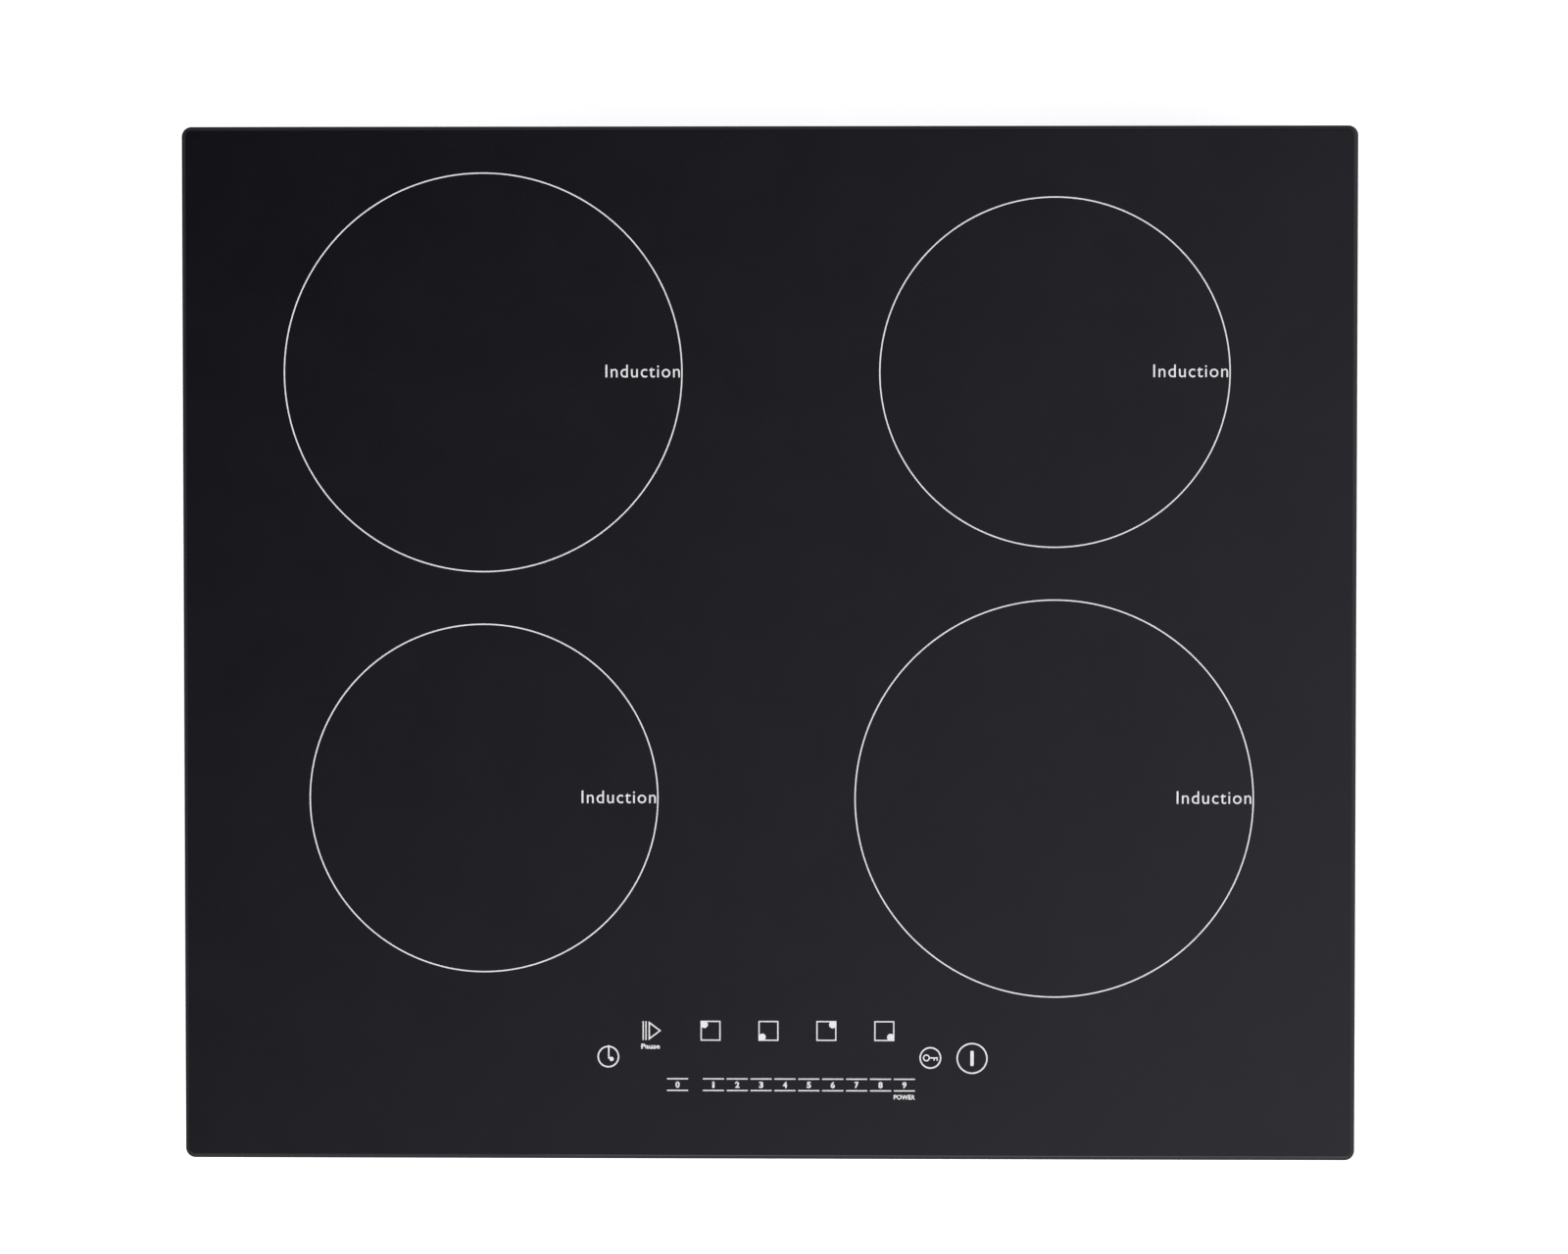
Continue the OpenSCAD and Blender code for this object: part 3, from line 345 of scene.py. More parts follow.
def finish(name, light, dark, patch=12.0, smooth=0.3, rough=0.5, grain=900.0, bump=0.1, depth=0.0001,
           metal=0.0, worn=None, width=0.0004, dust=0.0, stretch=(1, 1, 1), **shader_values):
    """A slot's material: patchy colour, dust and worn edges, with grain in its roughness and its surface.

    shader_values are the shader's other sockets, by their own names.
    """
    material = bpy.data.materials.new(name)
    material.use_nodes = True
    tree = material.node_tree
    shader = tree.nodes["Principled BSDF"]
    place = add(tree, "ShaderNodeTexCoord").outputs["Object"]
    mapping = add(tree, "ShaderNodeMapping")
    mapping.inputs["Scale"].default_value = stretch
    chain(tree, place, mapping.inputs["Vector"])
    tone = place_effect(tree, TONE, Light=light, Dark=dark, Scale=patch)
    grain_node = place_effect(tree, GRAIN, Scale=grain, Smooth=smooth, Rough=rough)
    chain(tree, place, tone.inputs["Place"])
    chain(tree, mapping.outputs["Vector"], grain_node.inputs["Place"])
    colour, normal = tone.outputs["Colour"], None
    if worn:
        wear = place_effect(tree, WEAR, Worn=worn, Width=width, Amount=0.6)
        chain(tree, place, wear.inputs["Place"])
        chain(tree, colour, wear.inputs["Colour"])
        colour, normal = wear.outputs["Colour"], wear.outputs["Normal"]
    if dust:
        specks = place_effect(tree, DUST, Amount=dust)
        chain(tree, place, specks.inputs["Place"])
        chain(tree, colour, specks.inputs["Colour"])
        colour = specks.outputs["Colour"]
    relief = add(tree, "ShaderNodeBump", Strength=bump, Distance=depth)
    chain(tree, grain_node.outputs["Height"], relief.inputs["Height"])
    if normal:
        chain(tree, normal, relief.inputs["Normal"])
    chain(tree, colour, shader.inputs["Base Color"])
    chain(tree, grain_node.outputs["Roughness"], shader.inputs["Roughness"])
    chain(tree, relief.outputs["Normal"], shader.inputs["Normal"])
    shader.inputs["Metallic"].default_value = metal
    for socket, value in shader_values.items():
        shader.inputs[socket].default_value = value
    FINISHES[name] = material
    return material


def open_up(material):
    """A material's node tree, its shader and the Object coordinates that its patterns read."""
    tree = material.node_tree
    place = next(node for node in tree.nodes if node.type == "TEX_COORD").outputs["Object"]
    return tree, tree.nodes["Principled BSDF"], place


def source(socket):
    """What already feeds a socket."""
    return socket.links[0].from_socket


# ---- the finishes, one for each slot of the record ----


def make_finishes():
    finish(
        "black_glass", rgb(0.0034, 0.0032, 0.0048), rgb(0.0022, 0.0020, 0.0031), patch=30.0,
        smooth=0.02, rough=0.06, grain=60.0, bump=0.0, dust=0.012, **{"IOR": 1.5})
    finish(
        "printed_enamel", rgb(0.94, 0.93, 0.91), rgb(0.82, 0.81, 0.79), patch=260.0,
        smooth=0.35, rough=0.6, grain=4000.0, bump=0.2, depth=0.00002)
    finish(
        "black_rubber", rgb(0.028, 0.028, 0.029), rgb(0.016, 0.016, 0.017), patch=40.0,
        smooth=0.65, rough=0.9, grain=2600.0, bump=0.5, depth=0.0002, dust=0.3)
    finish(
        "zinc_fastener", rgb(0.62, 0.63, 0.64), rgb(0.5, 0.51, 0.52), patch=90.0, metal=1.0,
        smooth=0.22, rough=0.4, grain=1500.0, bump=0.1, worn=rgb(0.75, 0.75, 0.75), width=0.0002)
    finish(
        "zinc_plated_steel", rgb(0.6, 0.61, 0.6), rgb(0.45, 0.46, 0.47), patch=60.0, metal=1.0,
        smooth=0.25, rough=0.45, grain=700.0, bump=0.15, worn=rgb(0.72, 0.72, 0.72), stretch=(1, 6, 1))
    finish(
        "ferrite", rgb(0.05, 0.05, 0.052), rgb(0.03, 0.03, 0.031), patch=150.0,
        smooth=0.45, rough=0.75, grain=1800.0, bump=0.4, worn=rgb(0.09, 0.09, 0.09))
    finish(
        "spring_steel", rgb(0.5, 0.5, 0.5), rgb(0.35, 0.35, 0.36), patch=200.0, metal=1.0,
        smooth=0.2, rough=0.35, grain=2000.0)
    finish(
        "aluminium_sheet", rgb(0.78, 0.79, 0.8), rgb(0.68, 0.69, 0.71), patch=15.0, metal=1.0,
        smooth=0.25, rough=0.45, grain=300.0, bump=0.12, stretch=(1, 30, 1),
        worn=rgb(0.88, 0.88, 0.88))
    finish(
        "aluminium_extrusion", rgb(0.72, 0.73, 0.75), rgb(0.62, 0.63, 0.65), patch=20.0, metal=1.0,
        smooth=0.3, rough=0.5, grain=350.0, bump=0.2, stretch=(20, 1, 20),
        worn=rgb(0.85, 0.85, 0.85))
    finish(
        "red_case", rgb(0.42, 0.05, 0.035), rgb(0.33, 0.035, 0.03), patch=60.0,
        smooth=0.3, rough=0.5, grain=1400.0, bump=0.2, worn=rgb(0.5, 0.12, 0.1))
    finish(
        "blue_case", rgb(0.035, 0.09, 0.28), rgb(0.025, 0.065, 0.22), patch=60.0,
        smooth=0.25, rough=0.45, grain=1400.0, bump=0.2, worn=rgb(0.1, 0.17, 0.36))
    finish(
        "black_moulding", rgb(0.032, 0.032, 0.034), rgb(0.022, 0.022, 0.024), patch=35.0,
        smooth=0.42, rough=0.62, grain=2200.0, bump=0.35, worn=rgb(0.07, 0.07, 0.075), dust=0.15)
    finish(
        "grey_moulding", rgb(0.13, 0.132, 0.14), rgb(0.1, 0.102, 0.11), patch=35.0,
        smooth=0.42, rough=0.62, grain=2000.0, bump=0.35, worn=rgb(0.2, 0.2, 0.21))
    finish(
        "white_nylon", rgb(0.8, 0.79, 0.74), rgb(0.7, 0.69, 0.64), patch=80.0, smooth=0.35, rough=0.5,
        grain=1600.0, bump=0.15, worn=rgb(0.85, 0.85, 0.82), **{"Subsurface Weight": 0.1})
    finish(
        "clear_film", rgb(0.7, 0.72, 0.75), rgb(0.6, 0.62, 0.66), patch=15.0, smooth=0.1, rough=0.3,
        grain=40.0, bump=0.1, depth=0.0004)
    finish(
        "contact_rubber", rgb(0.07, 0.07, 0.075), rgb(0.05, 0.05, 0.055), patch=200.0,
        smooth=0.6, rough=0.85, grain=2600.0, bump=0.5)
    finish(
        "mica", rgb(0.62, 0.52, 0.33), rgb(0.5, 0.4, 0.24), patch=220.0, smooth=0.18, rough=0.5,
        grain=700.0, bump=0.3, worn=rgb(0.7, 0.62, 0.45))
    finish(
        "white_ceramic", rgb(0.84, 0.83, 0.8), rgb(0.76, 0.75, 0.72), patch=120.0, smooth=0.2, rough=0.4,
        grain=1800.0, bump=0.1, worn=rgb(0.88, 0.87, 0.85))
    finish(
        "motor_steel", rgb(0.42, 0.42, 0.43), rgb(0.32, 0.32, 0.33), patch=80.0, metal=1.0,
        smooth=0.3, rough=0.5, grain=900.0, stretch=(1, 1, 8), worn=rgb(0.6, 0.6, 0.6))
    finish(
        "shaft_steel", rgb(0.66, 0.66, 0.67), rgb(0.55, 0.55, 0.56), patch=200.0, metal=1.0,
        smooth=0.12, rough=0.25, grain=1200.0, stretch=(1, 1, 20))
    finish(
        "wire_sleeve", rgb(0.72, 0.7, 0.62), rgb(0.6, 0.58, 0.5), patch=120.0, smooth=0.45, rough=0.65,
        grain=1500.0, bump=0.4)
    finish_galvanised()
    finish_copper()
    finish_board()
    finish_label()


def finish_galvanised():
    """Zinc-coated sheet: angular spangles in tone and roughness, fine rolling grain, dull dust."""
    material = finish(
        "galvanised_sheet", rgb(0.44, 0.45, 0.46), rgb(0.37, 0.38, 0.395), patch=18.0, metal=1.0,
        smooth=0.28, rough=0.42, grain=500.0, bump=0.08, dust=0.25, worn=rgb(0.72, 0.72, 0.73), width=0.0005)
    tree, shader, place = open_up(material)
    spangle = add(tree, "ShaderNodeTexVoronoi", Scale=190.0, Randomness=1.0)
    bend = add(tree, "ShaderNodeTexNoise", Scale=140.0, Detail=2.0)
    wander = add(tree, "ShaderNodeMix", data_type="VECTOR", Factor=0.006)
    tone = add(tree, "ShaderNodeMapRange", **{"To Min": 0.91, "To Max": 1.08})
    tinted = add(tree, "ShaderNodeMix", data_type="RGBA", blend_type="MULTIPLY")
    tinted.inputs["Factor"].default_value = 1.0
    grey = add(tree, "ShaderNodeSeparateColor")
    sheen = add(tree, "ShaderNodeMath", operation="MULTIPLY_ADD")
    sheen.inputs[1].default_value = 0.09
    chain(tree, place, bend.inputs["Vector"])
    chain(tree, place, wander.inputs[WAY_A])
    chain(tree, bend.outputs["Color"], wander.inputs[WAY_B])
    chain(tree, wander.outputs[WAY], spangle.inputs["Vector"])
    chain(tree, spangle.outputs["Color"], grey.inputs["Color"])
    chain(tree, grey.outputs["Red"], tone.inputs["Value"])
    chain(tree, source(shader.inputs["Base Color"]), tinted.inputs[MIX_A])
    chain(tree, tone.outputs["Result"], tinted.inputs[MIX_B])
    chain(tree, tinted.outputs[MIXED], shader.inputs["Base Color"])
    chain(tree, grey.outputs["Green"], sheen.inputs[0])
    chain(tree, source(shader.inputs["Roughness"]), sheen.inputs[2])
    chain(tree, sheen.outputs["Value"], shader.inputs["Roughness"])


def finish_copper():
    """Varnished copper strands: fine twisted bands across the wire."""
    material = finish(
        "copper_wire", rgb(0.72, 0.33, 0.17), rgb(0.5, 0.2, 0.1), patch=90.0, metal=1.0, smooth=0.25,
        rough=0.42, grain=900.0, bump=0.1, **{"Coat Weight": 0.4, "Coat Roughness": 0.2})
    tree, shader, place = open_up(material)
    strands = add(tree, "ShaderNodeTexWave", Scale=420.0, Distortion=1.5, bands_direction="DIAGONAL")
    relief = add(tree, "ShaderNodeBump", Strength=0.5, Distance=0.0002)
    chain(tree, place, strands.inputs["Vector"])
    chain(tree, strands.outputs["Fac"], relief.inputs["Height"])
    chain(tree, source(shader.inputs["Normal"]), relief.inputs["Normal"])
    chain(tree, relief.outputs["Normal"], shader.inputs["Normal"])


def finish_board():
    """Green solder mask with tracks that show through it."""
    material = finish(
        "green_board", rgb(0.012, 0.085, 0.035), rgb(0.008, 0.06, 0.025), patch=30.0, smooth=0.2,
        rough=0.35, grain=1600.0, bump=0.05, worn=rgb(0.3, 0.33, 0.2))
    tree, shader, place = open_up(material)
    tracks = add(tree, "ShaderNodeTexBrick", Scale=38.0)
    tracks.inputs["Mortar Size"].default_value = 0.06
    tracks.inputs["Color1"].default_value = tracks.inputs["Color2"].default_value = rgb(0, 0, 0)
    tracks.inputs["Mortar"].default_value = rgb(1, 1, 1)
    blend = add(tree, "ShaderNodeMix", data_type="RGBA")
    blend.inputs[MIX_B].default_value = rgb(0.03, 0.17, 0.06)
    chain(tree, place, tracks.inputs["Vector"])
    chain(tree, tracks.outputs["Color"], blend.inputs["Factor"])
    chain(tree, source(shader.inputs["Base Color"]), blend.inputs[MIX_A])
    chain(tree, blend.outputs[MIXED], shader.inputs["Base Color"])


def finish_label():
    """Satin foil label, blank."""
    finish(
        "blank_label", rgb(0.66, 0.66, 0.67), rgb(0.58, 0.58, 0.6), patch=50.0, metal=0.6, smooth=0.3,
        rough=0.42, grain=240.0, bump=0.08, stretch=(1, 1, 40), worn=rgb(0.75, 0.75, 0.75), width=0.0002)


def dress_cad_nodes():
    """Gives every carried-over node the finish of its slot."""
    for node, slot in SLOT_OF.items():
        for place in frame["nodes"][node].material_slots:
            place.material = FINISHES[slot]


# ---- glass ----

INK_T = 0.03 * MM  # how far the printed enamel stands up from the glass
INK_ROOT = 0.01 * MM  # how far its underside reaches into the glass
INK_LAYER = 0.004 * MM  # step between prints that lap each other
GROUND_W, GROUND_H = 2 * MM, 1 * MM  # the ground slope along the glass's top edge
GROUND_ROUND = 0.35 * MM  # how far that slope's edges are rounded
GLASS_CORNER = 5 * MM


def make_glass():
    """One flat sheet: rounded corners, and a ground slope all along its top edge."""
    low, high = GLASS_LOW, GLASS_HIGH - UP * INK_T
    size = high - low
    bpy.ops.mesh.primitive_cube_add(size=1, location=(low + high - UP * GROUND_H) / 2,
                                    scale=(size.x, size.y, size.z - GROUND_H))
    glass = settle(named("glass_panel"))
    enter()
    pick("edges", lambda e: abs(edge_run(e).z) > 0.9)
    bpy.ops.mesh.bevel(offset=GLASS_CORNER, segments=14, affect="EDGES")
    pick("faces", lambda f: f.normal.z > 0.9)
    bpy.ops.mesh.inset(thickness=GROUND_W, depth=0)
    bpy.ops.transform.translate(value=(0, 0, GROUND_H))
    leave()
    soften(glass, GROUND_ROUND, segments=4, angle=20)
    fit(glass, "black_glass", stands_for=["glass_top"])


# ---- tray ----

SHEET_T = 1 * MM
BEND_R = 1.6 * MM  # outer radius of the tray's bends
TRAY_CORNER = 6 * MM
PAST = 2 * MM  # how far a cutting block runs past the face that it cuts

# Each clamp's pocket, from the clamp's swing line
POCKET_HALF_W, POCKET_BACK, POCKET_AHEAD, POCKET_H = 12 * MM, 10 * MM, 31 * MM, 19 * MM
CLAMP_HOLE_R = 2.8 * MM

# The recess for the mains cable, and the window through its wall
RECESS_GAP = 0.5 * MM  # between the terminal box's flange and the recess
RECESS_DEPTH = 14 * MM
WINDOW_RIM, WINDOW_SILL = 1.3 * MM, 0.8 * MM  # how far it is inside the box at sides and top, and foot

# The beads pressed up into the floor
BEAD_H, BEAD_W, BEAD_END = 0.6 * MM, 8 * MM, 235 * MM
BEAD_SLOPE = 1.6 * MM
BEAD_ROUND = 0.28 * MM
BEAD_TOP = 0.9 * MM  # sharp edges lower than this are the beads'
REAR_BEAD_IN = 23 * MM  # from the rear wall to the rear bead
REAR_BEAD_GAP = 15.5 * MM  # from the terminal box to the end of the rear bead's run
MIDDLE_BEAD_SHORTER = 20 * MM  # than the board beside it

# The cooling slots
SLOT_W, SLOT_H, SLOT_PITCH, SLOT_COUNT = 3 * MM, 16 * MM, 7 * MM, 18
SLOT_BLUNT = 0.98  # share of half a slot's width that rounds its ends
INTAKE_R = 25 * MM
INTAKE_STEPS = range(-3, 4)  # a fan's slots, counted from its middle


def add_block(name, low, high):
    """A block between two corners."""
    low, high = Vector(low), Vector(high)
    bpy.ops.mesh.primitive_cube_add(size=1, location=(low + high) / 2)
    block = named(name)
    block.scale = high - low
    return settle(block)


def add_slot(length, depth, turn=(0, 0, 0), at=(0, 0, 0), width=SLOT_W, slope=0.0):
    """A bar with round ends that cuts a slot. Its top is narrower by the slope on each side."""
    bpy.ops.mesh.primitive_plane_add(size=1)
    slot = named("slot")
    slot.scale = (width, length, 1)
    settle(slot)
    enter("VERT")
    bpy.ops.mesh.bevel(offset=width / 2 * SLOT_BLUNT, segments=5, affect="VERTICES")
    bpy.ops.mesh.select_all(action="SELECT")
    bpy.ops.mesh.extrude_region_move(TRANSFORM_OT_translate={"value": (0, 0, depth)})
    bpy.ops.mesh.select_all(action="SELECT")
    bpy.ops.transform.translate(value=(0, 0, -depth / 2))
    pick("verts", lambda v: v.co.z > 0)
    bpy.ops.transform.resize(
        value=(1 - 2 * slope / width, 1 - 2 * slope / length, 1), center_override=(0, 0, 0))
    bpy.ops.mesh.select_all(action="SELECT")
    bpy.ops.mesh.normals_make_consistent(inside=False)
    leave()
    slot.rotation_euler = turn
    slot.location = at
    return settle(slot)


def copies(first, moves):
    """Copies of a piece, each with its own mesh, at these moves from it."""
    made = []
    for move in moves:
        alone(first)
        bpy.ops.object.duplicate()
        copy = bpy.context.object
        copy.location = move
        made.append(settle(copy))
    bpy.data.objects.remove(first)
    return made


def row(count, pitch, run):
    """Moves for a row that is centred on its middle."""
    return [Vector(run) * ((i - (count - 1) / 2) * pitch) for i in range(count)]


def slot_cutters():
    """The cooling slots in the walls and the floor, the two fans' intakes and the clamps' holes."""
    depth = SHEET_T + 2 * PAST
    side_turn, back_turn = (math.pi / 2, 0, math.pi / 2), (math.pi / 2, 0, 0)
    side_z = GLASS_HIGH.z / 2
    floor_y = (CONTROL_HIGH.y + BOARD_LOW.y) / 2
    cutters = []
    for side in (-1, 1):
        wall = add_slot(SLOT_H, depth, side_turn, (side * TRAY_HIGH.x, 0, side_z))
        cutters += copies(wall, row(SLOT_COUNT, SLOT_PITCH, BACK))
        floor = add_slot(SLOT_H, depth, at=(side * middle("heat_sensor_rear_right").x, floor_y, 0))
        cutters += copies(floor, row(SLOT_COUNT, SLOT_PITCH, RIGHT))
        fan = JOINT_AT["fan_spin_right" if side > 0 else "fan_spin_left"]
        for step in INTAKE_STEPS:
            across = step * SLOT_PITCH
            length = 2 * math.sqrt(INTAKE_R ** 2 - across ** 2) + SLOT_W
            cutters.append(add_slot(length, depth, at=(fan.x + across, fan.y, 0)))
    rear = add_slot(SLOT_H, depth, back_turn, (JOINT_AT["fan_spin_left"].x, TRAY_HIGH.y, side_z))
    cutters += copies(rear, row(SLOT_COUNT, SLOT_PITCH, RIGHT))
    front = add_slot(SLOT_H, depth, back_turn, (0, TRAY_LOW.y, side_z - SLOT_H))
    cutters += copies(front, row(2 * SLOT_COUNT, SLOT_PITCH, RIGHT))
    for clamp in CLAMP_AT.values():
        bpy.ops.mesh.primitive_cylinder_add(
            radius=CLAMP_HOLE_R, depth=2 * depth, location=clamp.xy.to_3d() + UP * POCKET_H)
        cutters.append(settle(named("hole")))
    return cutters


def hollow_cutters():
    """The pockets that the clamps swing in, and the recess for the mains cable."""
    blocks = []
    for at in CLAMP_AT.values():
        side, end = math.copysign(1, at.x), math.copysign(1, at.y)
        xs = sorted((at.x - side * POCKET_HALF_W, side * (TRAY_HIGH.x + PAST)))
        ys = sorted((at.y + end * POCKET_BACK, at.y - end * POCKET_AHEAD))
        blocks.append(add_block("pocket", (xs[0], ys[0], -PAST), (xs[1], ys[1], POCKET_H)))
    blocks.append(add_block(
        "recess", (BOX_LOW.x - RECESS_GAP, TRAY_HIGH.y - RECESS_DEPTH, -PAST),
        (BOX_HIGH.x + RECESS_GAP, TRAY_HIGH.y + PAST, BOX_HIGH.z + RECESS_GAP)))
    return blocks


def bead_cutters():
    """The beads that stiffen the floor: one along the front, one along the rear, one in the middle."""
    front_y = (CONTROL_LOW.y + CONTROL_HIGH.y) / 2
    middle_y = (BOARD_LOW.y + BOARD_HIGH.y) / 2
    rear_y = TRAY_HIGH.y - SHEET_T - REAR_BEAD_IN
    rear_end = BOX_LOW.x - REAR_BEAD_GAP
    side_turn = (0, 0, math.pi / 2)
    middle_run = BOARD_HIGH.y - BOARD_LOW.y - MIDDLE_BEAD_SHORTER
    runs = [(2 * BEAD_END, side_turn, (0, front_y, 0)),
            (BEAD_END + rear_end, side_turn, ((rear_end - BEAD_END) / 2, rear_y, 0)),
            (middle_run, (0, 0, 0), (0, middle_y, 0))]
    return [add_slot(length + BEAD_W, 2 * BEAD_H, turn, at, BEAD_W, BEAD_SLOPE)
            for length, turn, at in runs]


def cut(obj, cutters):
    """Cuts these closed shapes out of a piece and removes them."""
    cutter = join("cutter", cutters)
    modify(obj, "BOOLEAN", operation="DIFFERENCE", solver="EXACT", object=cutter)
    bpy.data.objects.remove(cutter)


def sharp(edge, degrees=30):
    return len(edge.link_faces) == 2 and edge.calc_face_angle() > math.radians(degrees)


def window_cutter():
    """The way from the recess into the terminal box."""
    wall_y = TRAY_HIGH.y - RECESS_DEPTH
    return add_block(
        "window", (BOX_LOW.x + WINDOW_RIM, wall_y - SHEET_T - PAST, BOX_LOW.z + WINDOW_SILL),
        (BOX_HIGH.x - WINDOW_RIM, wall_y + PAST, BOX_HIGH.z - WINDOW_RIM))


def make_tray():
    """A drawn sheet tray: a block, hollowed, rounded along its bends, opened and made a sheet."""
    tray = add_block("tray_pan", TRAY_LOW, TRAY_HIGH)
    enter("EDGE")
    pick("edges", lambda e: abs(edge_run(e).z) > 0.9)
    bpy.ops.mesh.bevel(offset=TRAY_CORNER, segments=8, affect="EDGES")
    leave()
    cut(tray, hollow_cutters())
    top = TRAY_HIGH.z
    enter("EDGE")
    pick("edges", lambda e: sharp(e) and edge_middle(e).z < top - MM / 2)
    bpy.ops.mesh.bevel(offset=BEND_R, segments=4, affect="EDGES")
    leave()
    cut(tray, bead_cutters())
    enter("EDGE")
    pick("edges", lambda e: sharp(e) and edge_middle(e).z < BEAD_TOP)
    bpy.ops.mesh.bevel(offset=BEAD_ROUND, segments=2, affect="EDGES")
    pick("faces", lambda f: f.normal.z > 0.9 and f.calc_center_median().z > top - 0.1 * MM)
    bpy.ops.mesh.delete(type="FACE")
    leave()
    modify(tray, "SOLIDIFY", thickness=SHEET_T, offset=-1, use_even_offset=True)
    # At the foot of the hollows' corners the thickness turns round, and its points land under the floor.
    # They are lifted to the floor's inner face.
    enter("VERT")
    pick("verts", lambda v: v.co.z < -SHEET_T / 2)
    bpy.ops.transform.translate(value=(0, 0, 2 * SHEET_T))
    leave()
    cut(tray, slot_cutters() + [window_cutter()])
    shade(tray)
    fit(tray, "galvanised_sheet", stands_for=["tray"])


# ---- seal ----

SEAL_W = 10 * MM
SEAL_ROUND = 0.7 * MM


def make_seal():
    """A foam strip: a flat frame, thickened, with soft edges."""
    size = SEAL_HIGH - SEAL_LOW
    bpy.ops.mesh.primitive_plane_add(size=1, location=(0, 0, SEAL_LOW.z))
    seal = named("rim_seal_strip")
    seal.scale = (size.x, size.y, 1)
    settle(seal)
    enter()
    bpy.ops.mesh.inset(thickness=SEAL_W)
    bpy.ops.mesh.delete(type="FACE")
    leave()
    modify(seal, "SOLIDIFY", thickness=size.z, offset=1)
    enter("EDGE")
    pick("edges", lambda e: abs(edge_run(e).z) > 0.9 and abs(edge_middle(e).x) > size.x / 2 - MM)
    bpy.ops.mesh.bevel(offset=GLASS_CORNER, segments=8, affect="EDGES")
    leave()
    soften(seal, SEAL_ROUND, segments=3)
    fit(seal, "black_rubber", stands_for=["rim_seal"])


# ---- windings ----

STRANDS = 9  # round the outside of a wire
STRAND_DIP = 0.84  # radius between two strands, as a share of the wire's radius
TWIST = 16 * MM  # length in which the strands go once round the wire
WIND_HOLE_R = 20 * MM  # of the hole in a winding's middle
TURN_POINTS = 60


def add_curve(name, points, cyclic=False, tilts=None):
    """A curve of straight steps through these points."""
    curve = bpy.data.curves.new(name, "CURVE")
    curve.dimensions = "3D"
    spline = curve.splines.new("POLY")
    spline.points.add(len(points) - 1)
    spline.use_cyclic_u = cyclic
    for index, point in enumerate(points):
        spline.points[index].co = (*point, 1)
        if tilts:
            spline.points[index].tilt = tilts[index]
    obj = bpy.data.objects.new(name, curve)
    bpy.context.scene.collection.objects.link(obj)
    return obj


def ray(angle):
    return Vector((math.cos(angle), math.sin(angle), 0))


def make_winding(zone):
    """One wire of twisted strands, wound flat from the rim to the hole in the middle."""
    node = f"coil_winding_{zone}"
    low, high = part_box(node)
    centre = (low + high) / 2
    wire_r = (high.z - low.z) / 2
    rim = (high.x - low.x) / 2 - wire_r
    turns = int((rim - WIND_HOLE_R) / (2 * wire_r))
    points, tilts, length = [], [], 0.0
    for step in range(turns * TURN_POINTS + 1):
        around = 2 * math.pi * step / TURN_POINTS
        out = rim - 2 * wire_r * step / TURN_POINTS
        points.append(centre + ray(around) * out)
        tilts.append(2 * math.pi * length / TWIST)
        length += 2 * math.pi * out / TURN_POINTS
    winding = add_curve(f"{node}_spiral", points, tilts=tilts)
    lobes = [ray(math.pi * index / STRANDS) * (wire_r * (STRAND_DIP if index % 2 else 1))
             for index in range(2 * STRANDS)]
    section = add_curve("section", lobes, cyclic=True)
    winding.data.bevel_mode = "OBJECT"
    winding.data.bevel_object = section
    winding.data.use_fill_caps = True
    alone(winding)
    bpy.ops.object.convert(target="MESH")
    bpy.data.objects.remove(section)
    enter()
    bpy.ops.mesh.normals_make_consistent(inside=False)
    leave()
    bpy.ops.object.shade_smooth()
    fit(winding, "copper_wire", stands_for=[node])


# ---- pieces whose CAD shape is right, with their edges rounded ----

# How far each node's edges are rounded
ROUNDED = {
    "tray_screws": 0.25 * MM, "clamp_screws": 0.3 * MM, "clamp_nuts": 0.3 * MM, "rating_plate": 0.1 * MM,
    "terminal_box": 0.4 * MM, "terminal_cover": 0.5 * MM, "terminal_block": 0.4 * MM,
    "cable_grommet": 0.5 * MM, "clamp_rear_left": 0.5 * MM, "clamp_rear_right": 0.5 * MM,
    "clamp_front_left": 0.5 * MM, "clamp_front_right": 0.5 * MM}


def round_node(node, width):
    """A merged copy of a CAD node with rounded edges, which stands for it."""
    alone(frame["nodes"][node])
    bpy.ops.object.duplicate()
    piece = bpy.context.object
    body = piece["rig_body"]
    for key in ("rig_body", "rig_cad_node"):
        del piece[key]
    piece.parent = None
    piece.name = piece.data.name = f"{node}_rounded"
    enter("VERT")
    bpy.ops.mesh.remove_doubles(threshold=0.001 * MM)
    bpy.ops.mesh.dissolve_limited(angle_limit=math.radians(0.5))
    leave()
    soften(piece, width, segments=2)
    fit(piece, SLOT_OF[node], body, stands_for=[node])


# ---- printed marks ----

INK_TOP = GLASS_HIGH.z
FRONT = GLASS_LOW.y  # the glass's front edge, from which the panel is measured
LINE = 0.74 * MM  # width of the lines round the keys
FINE_LINE = 0.62 * MM  # width of the lines in the signs
RING_LINE = 0.64 * MM  # width of the zones' rings


def printed(name, shapes):
    """Makes one thin print of flat shapes at the ink's top, each a hair under the one that it laps."""
    for layer, shape in enumerate(shapes):
        shape.location.z = -layer * INK_LAYER
        settle(shape)
    mark = join(name, shapes)
    enter()
    bpy.ops.mesh.extrude_region_move(TRANSFORM_OT_translate={"value": (0, 0, -INK_T - INK_ROOT)})
    bpy.ops.mesh.select_all(action="SELECT")
    bpy.ops.mesh.normals_make_consistent(inside=False)
    leave()
    fit(mark, "printed_enamel")


